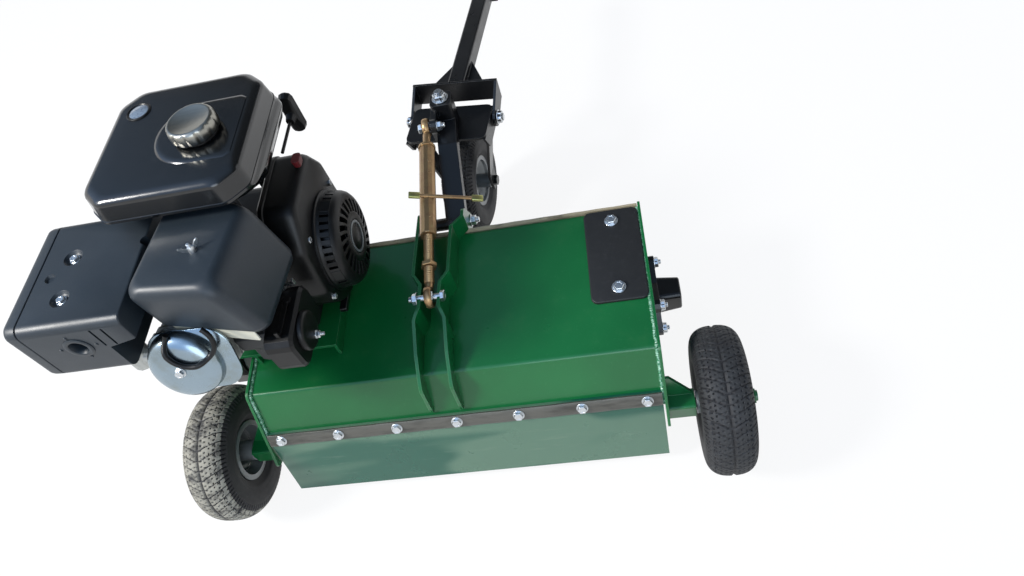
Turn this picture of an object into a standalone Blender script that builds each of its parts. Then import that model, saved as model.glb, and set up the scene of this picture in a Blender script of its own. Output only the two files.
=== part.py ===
# Tow-behind flail mower with its own petrol engine, three wheels and a steered drawbar.
# Metres, +Z up, +Y forward towards the tow vehicle, +X to the right seen from behind.
# Sizes are set below in the machine's own frame: x = 0 in the middle of the deck, y = 0 over the
# rear wheels' axis and z = 0 on the ground. The last step puts the origin under the middle of
# the whole machine's box.

import math

import bmesh
import bpy
from mathutils import Matrix, Vector

# Clearances and facets
GAP = 0.0003
RUN_GAP = 0.0006
ROUND = 16
SMALL_ROUND = 8
WHEEL_ROUND = 20

# Deck
DECK_HALF = 0.385
SIDE_PLATE = 0.005
SHEET = 0.004
RIDGE_Y = 0.0345
RIDGE_Z = 0.2852
TOP_SLOPE = math.radians(4.0)
TOP_LENGTH = 0.308
REAR_SLOPE = math.radians(66.0)
REAR_LENGTH = 0.1175
FRONT_DROP = 0.075
BEND_RADIUS = 0.008
SIDE_PROUD = 0.007
SIDE_BOTTOM = 0.042
SIDE_HEEL = 0.118
CURTAIN = 0.006
CURTAIN_CLEAR = 0.045

# Rear flap and its clamp strip
FLAP_THICK = 0.005
FLAP_CLEAR = 0.0354
FLAP_LEAN = math.radians(77.7)
STRIP_THICK = 0.004
STRIP_HEIGHT = 0.026
BOLT_COUNT = 7
BOLT_EDGE = 0.0265
BOLT_HEAD = 0.0092
BOLT_HEAD_HEIGHT = 0.006

# Pad on the top panel
PAD_LENGTH = 0.205
PAD_WIDTH = 0.104
PAD_THICK = 0.006
PAD_FROM_FRONT = 0.004
PAD_BOLT_SPACING = 0.150
PAD_BOLT_HEAD = 0.0105

# Rear wheels and their stub axles
TYRE_RADIUS = 0.135
TYRE_WIDTH = 0.090
RIM_RADIUS = 0.060
BEAD_RADIUS = 0.0508
WHEEL_X = DECK_HALF + 0.0965
AXLE_TUBE = 0.040
SPINDLE_RADIUS = 0.010
AXLE_NUT = 0.015
HUB_LENGTH = 0.092
HUB_RADIUS = 0.021
GUSSET_HEIGHT = 0.065
GUSSET_PLATE = 0.006

# Rotor
ROTOR_Y = RIDGE_Y + TOP_LENGTH * math.cos(TOP_SLOPE) - 0.11575
ROTOR_Z = 0.165
ROTOR_TUBE = 0.038
SHAFT_RADIUS = 0.0125
FLAIL_COUNT = 8
FLAIL_STEP = math.radians(135.0)
FLAIL_PIVOT = 0.054
FLAIL_REACH = 0.040
FLAIL_PIN = 0.006
FLAIL_EYE = 0.013
FLAIL_WIDTH = 0.022
FLAIL_PLATE = 0.006
FLAIL_SPREAD = 0.020
LUG_PLATE = 0.006
BEARING_PLATE = 0.012
BEARING_REACH = 0.055
BEARING_BOLT_Y = 0.052
BEARING_BOLT_Z = 0.040
BEARING_BLOCK = 0.056

# Engine
ENGINE_BASE = 0.3220
SHAFT_HEIGHT = 0.120
CRANK_Y = 0.250
RECOIL_FACE = -0.128
PTO_FACE = -0.430
CASE_RIGHT = -0.240
CASE_REAR = 0.145
CASE_FRONT = 0.355
CASE_TOP = 0.545
MOUNT_PLATE = 0.006
MOUNT_LEFT = -0.440
MOUNT_RIGHT = -0.200
MOUNT_REAR = 0.100
MOUNT_FRONT = 0.345
CYLINDER_X = -0.350
CYLINDER_TILT = math.radians(20.0)
CYLINDER_DROP = 0.027
HEAD_REACH = 0.318
FIN_COUNT = 4
FIN_HALF = 0.066
FIN_HIGH = 0.046
FIN_THICK = 0.0045
HEAD_HALF = 0.068
HEAD_HIGH = 0.042
COVER_SHIFT = 0.012
COVER_ROUND = 0.060
EXHAUST_X = -0.455
RECOIL_RADIUS = 0.090
BLOWER_RADIUS = 0.118
BLOWER_TOP = 0.595
COVER_WALL = 0.0025
RECOIL_SLOTS = 12
TANK_LEFT = -0.450
TANK_RIGHT = -0.185
TANK_REAR = 0.120
TANK_FRONT = 0.386
TANK_BOTTOM = CASE_TOP + 0.100
TANK_SEAM = TANK_BOTTOM + 0.050
TANK_TOP = TANK_SEAM + 0.040
TANK_FLANGE = 0.0012
CAP_X = -0.270
CAP_Y = 0.240
CAP_RADIUS = 0.0405
CAP_HEIGHT = 0.024
NECK_RADIUS = 0.026
NECK_HEIGHT = 0.006
AIR_LEFT = -0.362
AIR_RIGHT = -0.212
AIR_FOOT = -0.178
AIR_YAW = math.radians(-6.5)
AIR_SLANT = 0.036
AIR_REAR = -0.016
AIR_FRONT = 0.155
AIR_BOTTOM = 0.576
AIR_TOP = TANK_SEAM - 0.023
AIR_NECK = 0.545
MUFFLER_LEFT = -0.583
MUFFLER_RIGHT = -0.381
MUFFLER_REAR = -0.034
MUFFLER_FRONT = 0.186
MUFFLER_BOTTOM = 0.524
MUFFLER_TOP = 0.650
MUFFLER_SIDE = -0.4325
CONTROL_LEFT = -0.227
CONTROL_RIGHT = -0.180
CONTROL_REAR = -0.020
CONTROL_FRONT = 0.106
CONTROL_BOTTOM = 0.432
CONTROL_TOP = 0.512
STARTER_PULL = 0.060
ROPE_RADIUS = 0.0025

# Belt drive on the left
BELT_X = -DECK_HALF - 0.093
BELT_WIDTH = 0.017
BELT_THICK = 0.011
ENGINE_PULLEY = 0.045
ROTOR_PULLEY = 0.048
IDLER_RADIUS = 0.022
PULLEY_FLANGE = 0.004
GUARD_WALL = 0.002
GUARD_CLEAR = 0.005
GUARD_OUTER = -DECK_HALF - 0.123
GUARD_INNER = -DECK_HALF - 0.082
GUARD_POST = 0.007

# Hitch brackets, front arm and turnbuckle
HITCH_X = -0.0135
BRACKET_PLATE = 0.006
BRACKET_REAR_HALF = 0.0255
BRACKET_EYE_HALF = 0.0155
BRACKET_MID_HALF = 0.0305
BRACKET_FRONT_HALF = 0.0520
ARM_PIVOT_Y = RIDGE_Y + TOP_LENGTH * math.cos(TOP_SLOPE) + 0.03825
ARM_PIVOT_Z = 0.296
EYE_LOW_Y = 0.156
EYE_LOW_Z = 0.352
EYE_HIGH_X = -0.042
EYE_HIGH_Y = ARM_PIVOT_Y + 0.225
EYE_HIGH_Z = 0.365
ARM_FOOT_X = 0.016
ARM_WIDTH = 0.042
ARM_HEIGHT = 0.026
LINK_BOLT = 0.006
LINK_PLAY = 0.0010
EYE_RADIUS = 0.0205
EYE_WIDTH = 0.017
TUBE_RADIUS = 0.0165
TUBE_BORE = 0.0102
ROD_RADIUS = 0.0096
HANDLE_LENGTH = 0.148
HANDLE_SHIFT = 0.035
HANDLE_PLACE = 0.236
HANDLE_TILT = math.radians(21.0)
HANDLE_RADIUS = 0.0037

# Steering head, fork, castor wheel and drawbar
STEER_X = -0.007
STEER_Y = ARM_PIVOT_Y + 0.283
STEER_REST = math.radians(-9.0)
HEAD_RADIUS = 0.0235
LUG_LEFT = -0.0310
LUG_WIDTH = 0.0125
HEAD_TOP = 0.390
KINGPIN = 0.010
KINGPIN_NUT = 0.0145
CROWN_HALF = 0.0935
CROWN_DEPTH = 0.110
CROWN_TOP = 0.319
FORK_PLATE = 0.006
FORK_SKIRT = 0.040
FORK_FOOT_HALF = 0.056
CASTOR_RADIUS = 0.130
CASTOR_WIDTH = 0.078
CASTOR_RIM = 0.061
CASTOR_AXLE = 0.007
YOKE_Z = CROWN_TOP - 0.023
YOKE_BOLT = 0.008
YOKE_HINGE = 0.036
YOKE_REACH = 0.070
YOKE_PLATE = 0.006
YOKE_SIDE_GAP = 0.002
YOKE_BAR_LOW = YOKE_Z - 0.001
YOKE_BAR_HIGH = YOKE_Z + 0.053
DRAWBAR_TUBE = 0.040
DRAWBAR_Z = YOKE_Z + 0.028
DRAWBAR_END = 0.560
TONGUE_PLATE = 0.010
TONGUE_WIDTH = 0.060
TONGUE_REACH = 0.075
TONGUE_HOLE = 0.0105


def clear_scene():
    for thing in list(bpy.data.objects):
        bpy.data.objects.remove(thing, do_unlink=True)


MATERIALS = {
    "green_paint": ((0.010, 0.160, 0.070), 0.35, 0.0),
    "black_paint": ((0.012, 0.012, 0.013), 0.40, 0.0),
    "black_plastic": ((0.020, 0.020, 0.022), 0.55, 0.0),
    "engine_black": ((0.030, 0.033, 0.038), 0.38, 0.0),
    "cast_aluminium": ((0.560, 0.570, 0.560), 0.42, 0.9),
    "zinc": ((0.720, 0.740, 0.760), 0.28, 1.0),
    "gold_zinc": ((0.520, 0.360, 0.180), 0.40, 0.8),
    "worn_steel": ((0.330, 0.310, 0.280), 0.50, 0.8),
    "grey_steel": ((0.430, 0.440, 0.440), 0.45, 0.6),
    "tyre_rubber": ((0.030, 0.030, 0.031), 0.85, 0.0),
    "pad_rubber": ((0.022, 0.022, 0.024), 0.70, 0.0),
    "flap_sheet": ((0.090, 0.330, 0.240), 0.32, 0.0),
    "cap_chrome": ((0.640, 0.620, 0.560), 0.22, 1.0),
    "red_plastic": ((0.350, 0.030, 0.030), 0.45, 0.0),
}


def material(name):
    found = bpy.data.materials.get(name)
    if found:
        return found
    colour, roughness, metallic = MATERIALS[name]
    made = bpy.data.materials.new(name)
    made.use_nodes = True
    shader = made.node_tree.nodes["Principled BSDF"]
    shader.inputs["Base Color"].default_value = (*colour, 1.0)
    shader.inputs["Roughness"].default_value = roughness
    shader.inputs["Metallic"].default_value = metallic
    made.diffuse_color = (*colour, 1.0)
    return made


def empty(name, location, parent=None, turn=0.0):
    made = bpy.data.objects.new(name, None)
    bpy.context.collection.objects.link(made)
    made.parent = parent
    made.location = location
    made.rotation_euler = (0.0, 0.0, turn)
    return made


def draft(bm, name="draft"):
    """A bmesh as an object whose faces point out."""
    bmesh.ops.remove_doubles(bm, verts=bm.verts, dist=1e-6)
    bmesh.ops.recalc_face_normals(bm, faces=bm.faces)
    mesh = bpy.data.meshes.new(name)
    bm.to_mesh(mesh)
    bm.free()
    made = bpy.data.objects.new(name, mesh)
    bpy.context.collection.objects.link(made)
    return made


def boolean(base, tools, operation):
    for tool in tools:
        step = base.modifiers.new(operation, "BOOLEAN")
        step.operation = operation
        step.solver = "EXACT"
        step.object = tool
    bpy.context.view_layer.update()
    seen = base.evaluated_get(bpy.context.evaluated_depsgraph_get())
    solid = bpy.data.meshes.new_from_object(seen)
    base.modifiers.clear()
    base.data = solid
    for tool in tools:
        bpy.data.objects.remove(tool, do_unlink=True)
    return base


def join(base, *tools):
    return boolean(base, tools, "UNION")


def cut(base, *tools):
    return boolean(base, tools, "DIFFERENCE")


def finish(made, name, look, parent, origin=(0.0, 0.0, 0.0), crease=35.0):
    """Names a solid, gives it its material and puts its origin where it turns or sits."""
    made.name = name
    made.data.name = name
    made.data.transform(Matrix.Translation(-Vector(origin)))
    made.parent = parent
    made.location = origin
    made.data.materials.clear()
    made.data.materials.append(material(look))
    made.data.shade_smooth()
    made.data.set_sharp_from_angle(angle=math.radians(crease))
    return made


def loft(rings, closed=False):
    """Bridges rings of points, with a cap on each end unless the rings close on themselves."""
    bm = bmesh.new()
    rows = [[bm.verts.new(point) for point in ring] for ring in rings]
    count = len(rows[0])
    pairs = list(zip(rows, rows[1:]))
    if closed:
        pairs.append((rows[-1], rows[0]))
    for low, high in pairs:
        for i in range(count):
            j = (i + 1) % count
            bm.faces.new((low[i], low[j], high[j], high[i]))
    if not closed:
        bm.faces.new(list(reversed(rows[0])))
        bm.faces.new(rows[-1])
    return draft(bm)


def to_space(axis, along, first, second):
    """A point from its place along an axis and its two other coordinates, in X, Y, Z order."""
    if axis == "x":
        return Vector((along, first, second))
    if axis == "y":
        return Vector((first, along, second))
    return Vector((first, second, along))


def prism(outline, axis, low, high):
    return loft([[to_space(axis, place, *point) for point in outline] for place in (low, high)])


def box(low, high):
    outline = [(low[0], low[1]), (high[0], low[1]), (high[0], high[1]), (low[0], high[1])]
    return prism(outline, "z", low[2], high[2])


def arc(centre, radius, start, end, steps):
    turn = (end - start) / steps
    return [
        (centre[0] + radius * math.cos(start + turn * i), centre[1] + radius * math.sin(start + turn * i))
        for i in range(steps + 1)
    ]


def circle(centre, radius, sides):
    return arc(centre, radius, 0.0, math.tau, sides)[:-1]


def rounded(points, radius, steps=3, closed=True):
    """Rounds each corner of a polyline. radius is one value or one for each point."""
    radii = radius if isinstance(radius, (list, tuple)) else [radius] * len(points)
    out = []
    count = len(points)
    for i, point in enumerate(points):
        here = Vector(point)
        ends = not closed and i in (0, count - 1)
        if ends or radii[i] <= 0.0:
            out.append(tuple(here))
            continue
        before = Vector(points[i - 1]) - here
        after = Vector(points[(i + 1) % count]) - here
        half = before.angle(after) / 2.0
        reach = min(radii[i] / math.tan(half), before.length * 0.49, after.length * 0.49)
        true_radius = reach * math.tan(half)
        middle = here + (before.normalized() + after.normalized()).normalized() * (
            true_radius / math.sin(half)
        )
        first = here + before.normalized() * reach - middle
        last = here + after.normalized() * reach - middle
        sweep = math.atan2(first.cross(last), first.dot(last))
        for k in range(steps + 1):
            spoke = Matrix.Rotation(sweep * k / steps, 2) @ first
            out.append(tuple(middle + spoke))
    return out


def ribbon(path, thick):
    """The outline of a sheet whose first side follows the path and lies thick to its right."""
    offset = []
    count = len(path)
    for i, point in enumerate(path):
        here = Vector(point)
        before = (here - Vector(path[i - 1])).normalized() if i > 0 else None
        after = (Vector(path[i + 1]) - here).normalized() if i < count - 1 else None
        along = before or after
        if before and after:
            along = (before + after).normalized()
        side = Vector((along[1], -along[0]))
        stretch = 1.0
        if before:
            stretch = side.dot(Vector((before[1], -before[0])))
        offset.append(tuple(here + side * (thick / stretch)))
    return list(path) + offset[::-1]


def lathe(profile, axis, centre, sides=ROUND):
    """Turns a closed profile of (along, radius) about an axis through centre."""
    rings = []
    for i in range(sides):
        angle = math.tau * i / sides
        ring = []
        for along, radius in profile:
            first = centre[0] + radius * math.cos(angle)
            second = centre[1] + radius * math.sin(angle)
            ring.append(to_space(axis, along, first, second))
        rings.append(ring)
    return loft(rings, closed=True)


def rod(axis, centre, radius, low, high, sides=SMALL_ROUND):
    return prism(circle(centre, radius, sides), axis, low, high)


def hexagon(axis, centre, radius, low, high):
    return rod(axis, centre, radius, low, high, 6)


def rounded_rect(left, right, low, high, radius, steps=3):
    corners = [(left, low), (right, low), (right, high), (left, high)]
    return rounded(corners, radius, steps)


def block(levels, axis="z", steps=3):
    """Lofts rounded rectangles. Each level is (along, left, right, low, high, radius)."""
    rings = []
    for along, left, right, low, high, radius in levels:
        ring = rounded_rect(left, right, low, high, radius, steps)
        rings.append([to_space(axis, along, *point) for point in ring])
    return loft(rings)


def turned(made, axis, angle, pivot):
    """Turns a draft about an axis through a point."""
    shift = Matrix.Translation(Vector(pivot))
    made.data.transform(shift @ Matrix.Rotation(angle, 4, axis) @ shift.inverted())
    return made


# Places on the deck's bent sheet. s runs down the rear panel from the ridge and t runs forward
# along the top panel from it; lift is the distance out of the sheet's outer face.
def on_rear(s, lift=0.0):
    return (
        RIDGE_Y - s * math.cos(REAR_SLOPE) - lift * math.sin(REAR_SLOPE),
        RIDGE_Z - s * math.sin(REAR_SLOPE) + lift * math.cos(REAR_SLOPE),
    )


def on_top(t, lift=0.0):
    return (
        RIDGE_Y + t * math.cos(TOP_SLOPE) - lift * math.sin(TOP_SLOPE),
        RIDGE_Z + t * math.sin(TOP_SLOPE) + lift * math.cos(TOP_SLOPE),
    )


def top_height(y):
    return RIDGE_Z + (y - RIDGE_Y) * math.tan(TOP_SLOPE)


def ridge_lift(lift):
    """The ridge's corner on a line that lies lift out of both panels."""
    turn = math.pi - REAR_SLOPE - (math.pi - TOP_SLOPE)
    bisector = Vector((-math.sin((REAR_SLOPE + TOP_SLOPE) / 2), math.cos((REAR_SLOPE + TOP_SLOPE) / 2)))
    reach = lift / math.cos(turn / 2 + TOP_SLOPE)
    return (RIDGE_Y + bisector[0] * reach, RIDGE_Z + bisector[1] * reach)


SHELL_HALF = DECK_HALF - SIDE_PLATE - GAP
FRONT_CORNER = on_top(TOP_LENGTH)
CRANK_Z = ENGINE_BASE + SHAFT_HEIGHT
ROTOR_CENTRE = (ROTOR_Y, ROTOR_Z)
CRANK_CENTRE = (CRANK_Y, CRANK_Z)


def make_deck_shell(parent):
    front_low = (FRONT_CORNER[0], FRONT_CORNER[1] - FRONT_DROP)
    path = [front_low, FRONT_CORNER, (RIDGE_Y, RIDGE_Z), on_rear(REAR_LENGTH)]
    bent = rounded(path, BEND_RADIUS, 4, closed=False)
    outline = ribbon(bent[::-1], SHEET)
    shell = prism(outline, "x", -SHELL_HALF, SHELL_HALF)
    finish(shell, "deck_shell", "green_paint", parent, (0.0, RIDGE_Y, RIDGE_Z))


def side_outline():
    front = FRONT_CORNER[0] + SIDE_PROUD
    top_front = (front, top_height(front) + SIDE_PROUD)
    return [
        (front, SIDE_BOTTOM + 0.020),
        top_front,
        ridge_lift(SIDE_PROUD),
        on_rear(REAR_LENGTH + 0.055, SIDE_PROUD + 0.002),
        (on_rear(REAR_LENGTH + 0.055)[0] + 0.020, SIDE_HEEL),
        (ROTOR_Y - 0.130, SIDE_BOTTOM),
        (ROTOR_Y + 0.100, SIDE_BOTTOM),
    ]


def make_side_plates(parent):
    radii = [0.02, 0.004, 0.012, 0.006, 0.02, 0.04, 0.04]
    outline = rounded(side_outline(), radii, 2)
    hole = SHAFT_RADIUS + 0.012
    for name, side in (("side_plate_left", -1), ("side_plate_right", 1)):
        edges = sorted((side * (DECK_HALF - SIDE_PLATE), side * DECK_HALF))
        plate = prism(outline, "x", *edges)
        cut(plate, rod("x", ROTOR_CENTRE, hole, edges[0] - 0.01, edges[1] + 0.01, 16))
        finish(plate, name, "green_paint", parent, (side * DECK_HALF, ROTOR_Y, ROTOR_Z))


def make_curtain(parent):
    """Rubber curtain behind the front wall, slit into strips that let the grass in."""
    back = FRONT_CORNER[0] - SHEET - GAP
    top = FRONT_CORNER[1] - 0.030
    sheet = box((-SHELL_HALF + 0.004, back - CURTAIN, CURTAIN_CLEAR), (SHELL_HALF - 0.004, back, top))
    slits = []
    count = 7
    for i in range(1, count):
        x = -SHELL_HALF + 2 * SHELL_HALF * i / count
        slits.append(box((x - 0.001, back - 0.02, CURTAIN_CLEAR - 0.01), (x + 0.001, back + 0.02, top - 0.05)))
    cut(sheet, *slits)
    finish(sheet, "front_curtain", "pad_rubber", parent, (0.0, back, top))


def make_rear_flap(parent):
    lift = GAP + FLAP_THICK
    low_z = FLAP_CLEAR
    knee = on_rear(REAR_LENGTH + 0.004, lift)
    low_y = knee[0] - (knee[1] - low_z) / math.tan(FLAP_LEAN)
    path = [(low_y, low_z), knee, on_rear(REAR_LENGTH - STRIP_HEIGHT, lift)]
    outline = ribbon(rounded(path, 0.05, 4, closed=False), FLAP_THICK)
    half = SHELL_HALF - 0.003
    flap = prism(outline, "x", -half, half)
    finish(flap, "rear_flap", "flap_sheet", parent, (0.0, *knee))

    out = lift + GAP
    first = on_rear(REAR_LENGTH + 0.001, out + STRIP_THICK)
    second = on_rear(REAR_LENGTH + 0.001 - STRIP_HEIGHT, out + STRIP_THICK)
    strip = prism(ribbon([first, second], STRIP_THICK), "x", -half, half)
    middle = on_rear(REAR_LENGTH + 0.001 - STRIP_HEIGHT / 2, out)
    heads = []
    spread = half - BOLT_EDGE
    for i in range(BOLT_COUNT):
        x = -spread + 2 * spread * i / (BOLT_COUNT - 1)
        head = hexagon("y", (x, middle[1]), BOLT_HEAD, middle[0] - STRIP_THICK - BOLT_HEAD_HEIGHT, middle[0] - 0.001)
        heads.append(turned(head, "X", -(math.pi / 2 - REAR_SLOPE), (x, *middle)))
    join(strip, *heads)
    finish(strip, "clamp_strip", "worn_steel", parent, (0.0, *middle))


def make_top_pad(parent):
    right = SHELL_HALF - 0.001
    left = right - PAD_WIDTH
    rear = TOP_LENGTH - PAD_FROM_FRONT - PAD_LENGTH
    ring = rounded_rect(left, right, rear, rear + PAD_LENGTH, 0.012)
    rings = []
    for lift, inset in ((GAP, 0.0), (PAD_THICK - 0.0015, 0.0), (PAD_THICK, 0.0015)):
        flat = rounded_rect(left + inset, right - inset, rear + inset, rear + PAD_LENGTH - inset, 0.012)
        rings.append([Vector((x, *on_top(t, lift))) for x, t in flat])
    pad = loft(rings)
    heads = []
    for i in (-1, 1):
        t = rear + PAD_LENGTH / 2 + i * PAD_BOLT_SPACING / 2
        place = on_top(t, 0.0)
        x = (left + right) / 2
        head = hexagon("z", (x, place[0]), PAD_BOLT_HEAD, place[1] + 0.002, place[1] + PAD_THICK + 0.008)
        heads.append(turned(head, "X", TOP_SLOPE, (x, *place)))
    join(pad, *heads)
    finish(pad, "top_pad", "pad_rubber", parent, (ring[0][0], *on_top(rear)))


def make_engine_mount(parent):
    """A level plate on two rails that follow the sloping top panel."""
    top = ENGINE_BASE - GAP
    low = top - MOUNT_PLATE
    plate = box((MOUNT_LEFT, MOUNT_REAR, low), (MOUNT_RIGHT, MOUNT_FRONT, top))
    rails = []
    for x in (-SHELL_HALF + 0.012, MOUNT_RIGHT - MOUNT_PLATE):
        outline = [
            (MOUNT_REAR, low + 0.001),
            (MOUNT_REAR, top_height(MOUNT_REAR) + GAP),
            (MOUNT_FRONT - 0.02, top_height(MOUNT_FRONT - 0.02) + GAP),
            (MOUNT_FRONT - 0.02, low + 0.001),
        ]
        rails.append(prism(outline, "x", x, x + MOUNT_PLATE - 0.0005))
    join(plate, *rails)
    finish(plate, "engine_mount", "green_paint", parent, (MOUNT_RIGHT, MOUNT_REAR, top))


def bracket_outline():
    """The plate's outline: its foot follows the deck, its nose hangs past the front edge."""
    foot = GAP
    wall = FRONT_CORNER[0] + 0.003
    return [
        (wall, ARM_PIVOT_Z - 0.016),
        (ARM_PIVOT_Y + 0.010, ARM_PIVOT_Z - 0.016),
        (ARM_PIVOT_Y + 0.016, ARM_PIVOT_Z + 0.004),
        (ARM_PIVOT_Y - 0.015, ARM_PIVOT_Z + 0.056),
        (EYE_LOW_Y + 0.070, EYE_LOW_Z + 0.006),
        (EYE_LOW_Y - 0.030, EYE_LOW_Z + 0.004),
        (RIDGE_Y + 0.020, RIDGE_Z + 0.040),
        on_rear(0.012, 0.030),
        on_rear(0.070, 0.012),
        on_rear(0.085, 0.004),
        on_rear(0.080, foot),
        ridge_lift(foot),
        (wall, top_height(wall) + foot + 0.001),
    ]


def bracket_half(y, side):
    """How far the plate's inner face stands from the middle: it is pinched in at the eye."""
    nose = BRACKET_FRONT_HALF if side > 0 else BRACKET_MID_HALF
    stations = [
        (EYE_LOW_Y - 0.045, BRACKET_REAR_HALF),
        (EYE_LOW_Y - 0.022, BRACKET_EYE_HALF),
        (EYE_LOW_Y + 0.030, BRACKET_EYE_HALF),
        (EYE_LOW_Y + 0.053, BRACKET_MID_HALF),
        (FRONT_CORNER[0] - 0.020, BRACKET_MID_HALF),
        (FRONT_CORNER[0] + 0.004, nose),
    ]
    places = [place for place, _ in stations]
    if y <= stations[0][0]:
        return stations[0][1], places
    for (y0, h0), (y1, h1) in zip(stations, stations[1:]):
        if y <= y1:
            return h0 + (h1 - h0) * (y - y0) / (y1 - y0), places
    return stations[-1][1], places


def make_brackets(parent):
    outline = rounded(bracket_outline(), [0.004, 0.01, 0.01, 0.012, 0.01, 0.02, 0.02, 0.02, 0.01, 0.003, 0, 0.004, 0], 2)
    for name, side in (("bracket_left", -1), ("bracket_right", 1)):
        plate = prism(outline, "x", 0.0, BRACKET_PLATE)
        holes = []
        for y, z in ((EYE_LOW_Y, EYE_LOW_Z), (ARM_PIVOT_Y, ARM_PIVOT_Z)):
            holes.append(rod("x", (y, z), LINK_BOLT + GAP, -0.02, 0.02, 12))
        cut(plate, *holes)
        bm = bmesh.new()
        bm.from_mesh(plate.data)
        for station in bracket_half(0.0, side)[1]:
            whole = bm.verts[:] + bm.edges[:] + bm.faces[:]
            bmesh.ops.bisect_plane(bm, geom=whole, plane_co=(0, station, 0), plane_no=(0, 1, 0))
        for vert in bm.verts:
            half = bracket_half(vert.co.y, side)[0]
            vert.co.x = HITCH_X + side * (half + vert.co.x)
        bpy.data.objects.remove(plate, do_unlink=True)
        plate = draft(bm)
        finish(plate, name, "green_paint", parent, (HITCH_X, ARM_PIVOT_Y, ARM_PIVOT_Z))


def make_axles(parent):
    half = AXLE_TUBE / 2
    for name, side in (("stub_axle_left", -1), ("stub_axle_right", 1)):
        inner = DECK_HALF + GAP
        hub_in = WHEEL_X - HUB_LENGTH / 2
        tube = block(
            [(inner, -half, half, TYRE_RADIUS - half, TYRE_RADIUS + half, 0.004),
             (hub_in - 0.002, -half, half, TYRE_RADIUS - half, TYRE_RADIUS + half, 0.004)],
            "x", 2)
        nut_in = WHEEL_X + HUB_LENGTH / 2 + RUN_GAP
        spindle = rod("x", (0.0, TYRE_RADIUS), SPINDLE_RADIUS, hub_in - 0.01, nut_in + 0.016, 12)
        nut = hexagon("x", (0.0, TYRE_RADIUS), AXLE_NUT, nut_in, nut_in + 0.012)
        foot = TYRE_RADIUS + half - 0.002
        gusset = prism(
            [(inner, foot), (inner, foot + GUSSET_HEIGHT), (inner + 0.006, foot + GUSSET_HEIGHT),
             (hub_in - 0.006, foot + 0.006), (hub_in - 0.006, foot)],
            "y", half - 0.012, half - 0.012 + GUSSET_PLATE)
        join(tube, spindle, nut, gusset)
        if side < 0:
            tube.data.transform(Matrix.Scale(-1.0, 4, (1.0, 0.0, 0.0)))
            tube.data.flip_normals()
        finish(tube, name, "green_paint", parent, (side * inner, 0.0, TYRE_RADIUS))


def tyre_profile(radius, width, bead, bead_half, flange, power=2.6, steps=4):
    """Crown and walls of a tyre as half of a rounded square, then the beads and the inside."""
    half = width / 2
    wall = (radius + bead) / 2
    height = radius - wall
    outer = []
    for i in range(2 * steps + 1):
        angle = -math.radians(25.0) + math.radians(230.0) * i / (2 * steps)
        c = math.cos(angle)
        s = math.sin(angle)
        x = math.copysign(abs(c) ** (2 / power), c) * half
        r = wall + math.copysign(abs(s) ** (2 / power), s) * height
        outer.append((x, r))
    cavity = 0.010
    inner = [
        (-bead_half, flange),
        (-bead_half, bead),
        (-bead_half + cavity, bead),
        (-half + cavity * 2.0, radius - cavity * 1.6),
        (half - cavity * 2.0, radius - cavity * 1.6),
        (bead_half - cavity, bead),
        (bead_half, bead),
        (bead_half, flange),
    ]
    return outer + inner


def make_wheel(prefix, suffix, parent, x, y, z, radius, width, flange, bead, bore, hub, hub_half, openings):
    """A tyre on a pressed rim: bead seats, a well, flanges, and a dished disc that holds the hub."""
    bead_half = width * 0.36
    tyre = lathe([(x + a, r) for a, r in tyre_profile(radius, width, bead + GAP, bead_half, flange + 2 * GAP)], "x", (y, z), WHEEL_ROUND)
    finish(tyre, prefix + "tyre" + suffix, "tyre_rubber", parent, (x, y, z), 50.0)

    wall = 0.0025
    edge = bead_half + GAP
    disc = 0.010
    rim_outer = [
        (-edge - 0.003, flange), (-edge, flange), (-edge, bead - 0.0002), (-edge + 0.010, bead - 0.0002),
        (-edge + 0.018, bead - 0.008), (edge - 0.018, bead - 0.008), (edge - 0.010, bead - 0.0002),
        (edge, bead - 0.0002), (edge, flange), (edge + 0.003, flange), (edge + 0.003, bead - wall),
        (disc + wall, bead - 0.008 - wall), (disc - 0.003, hub), (hub_half, hub), (hub_half, bore),
        (-hub_half, bore), (-hub_half, hub), (disc - 0.003 - wall, hub),
        (disc - wall, bead - 0.008 - wall), (-edge - 0.003, bead - wall),
    ]
    side = 1.0 if x >= 0 else -1.0
    rim = lathe([(x + side * a, r) for a, r in rim_outer], "x", (y, z), WHEEL_ROUND)
    middle = (hub + bead - 0.008) / 2
    holes = []
    for i in range(openings):
        angle = math.tau * (i + 0.5) / openings + 0.1
        centre = (y + middle * math.cos(angle), z + middle * math.sin(angle))
        holes.append(rod("x", centre, (bead - 0.010 - hub) * 0.34, x - 0.03, x + 0.03, 6))
    if holes:
        cut(rim, *holes)
    finish(rim, prefix + "rim" + suffix, "grey_steel", parent, (x, y, z), 40.0)


def make_rear_wheels(parent):
    for suffix, side in (("_left", -1), ("_right", 1)):
        make_wheel("", suffix, parent, side * WHEEL_X, 0.0, TYRE_RADIUS, TYRE_RADIUS, TYRE_WIDTH,
                   RIM_RADIUS, BEAD_RADIUS, SPINDLE_RADIUS + RUN_GAP / 2, HUB_RADIUS, HUB_LENGTH / 2, 4)


def bearing_outline():
    lobes = []
    for ky, kz in ((1, 1), (-1, 1), (-1, -1), (1, -1)):
        centre = (ROTOR_Y + ky * BEARING_BOLT_Y, ROTOR_Z + kz * BEARING_BOLT_Z)
        start = math.atan2(kz, ky)
        lobes += arc(centre, 0.014, start - 1.1, start + 1.1, 3)
        waist = {(1, 1): (0, 1), (-1, 1): (-1, 0), (-1, -1): (0, -1), (1, -1): (1, 0)}[(ky, kz)]
        reach = (BEARING_BOLT_Y - 0.020) if waist[0] else (BEARING_BOLT_Z + 0.002)
        lobes.append((ROTOR_Y + waist[0] * reach, ROTOR_Z + waist[1] * reach))
    return lobes


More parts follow.
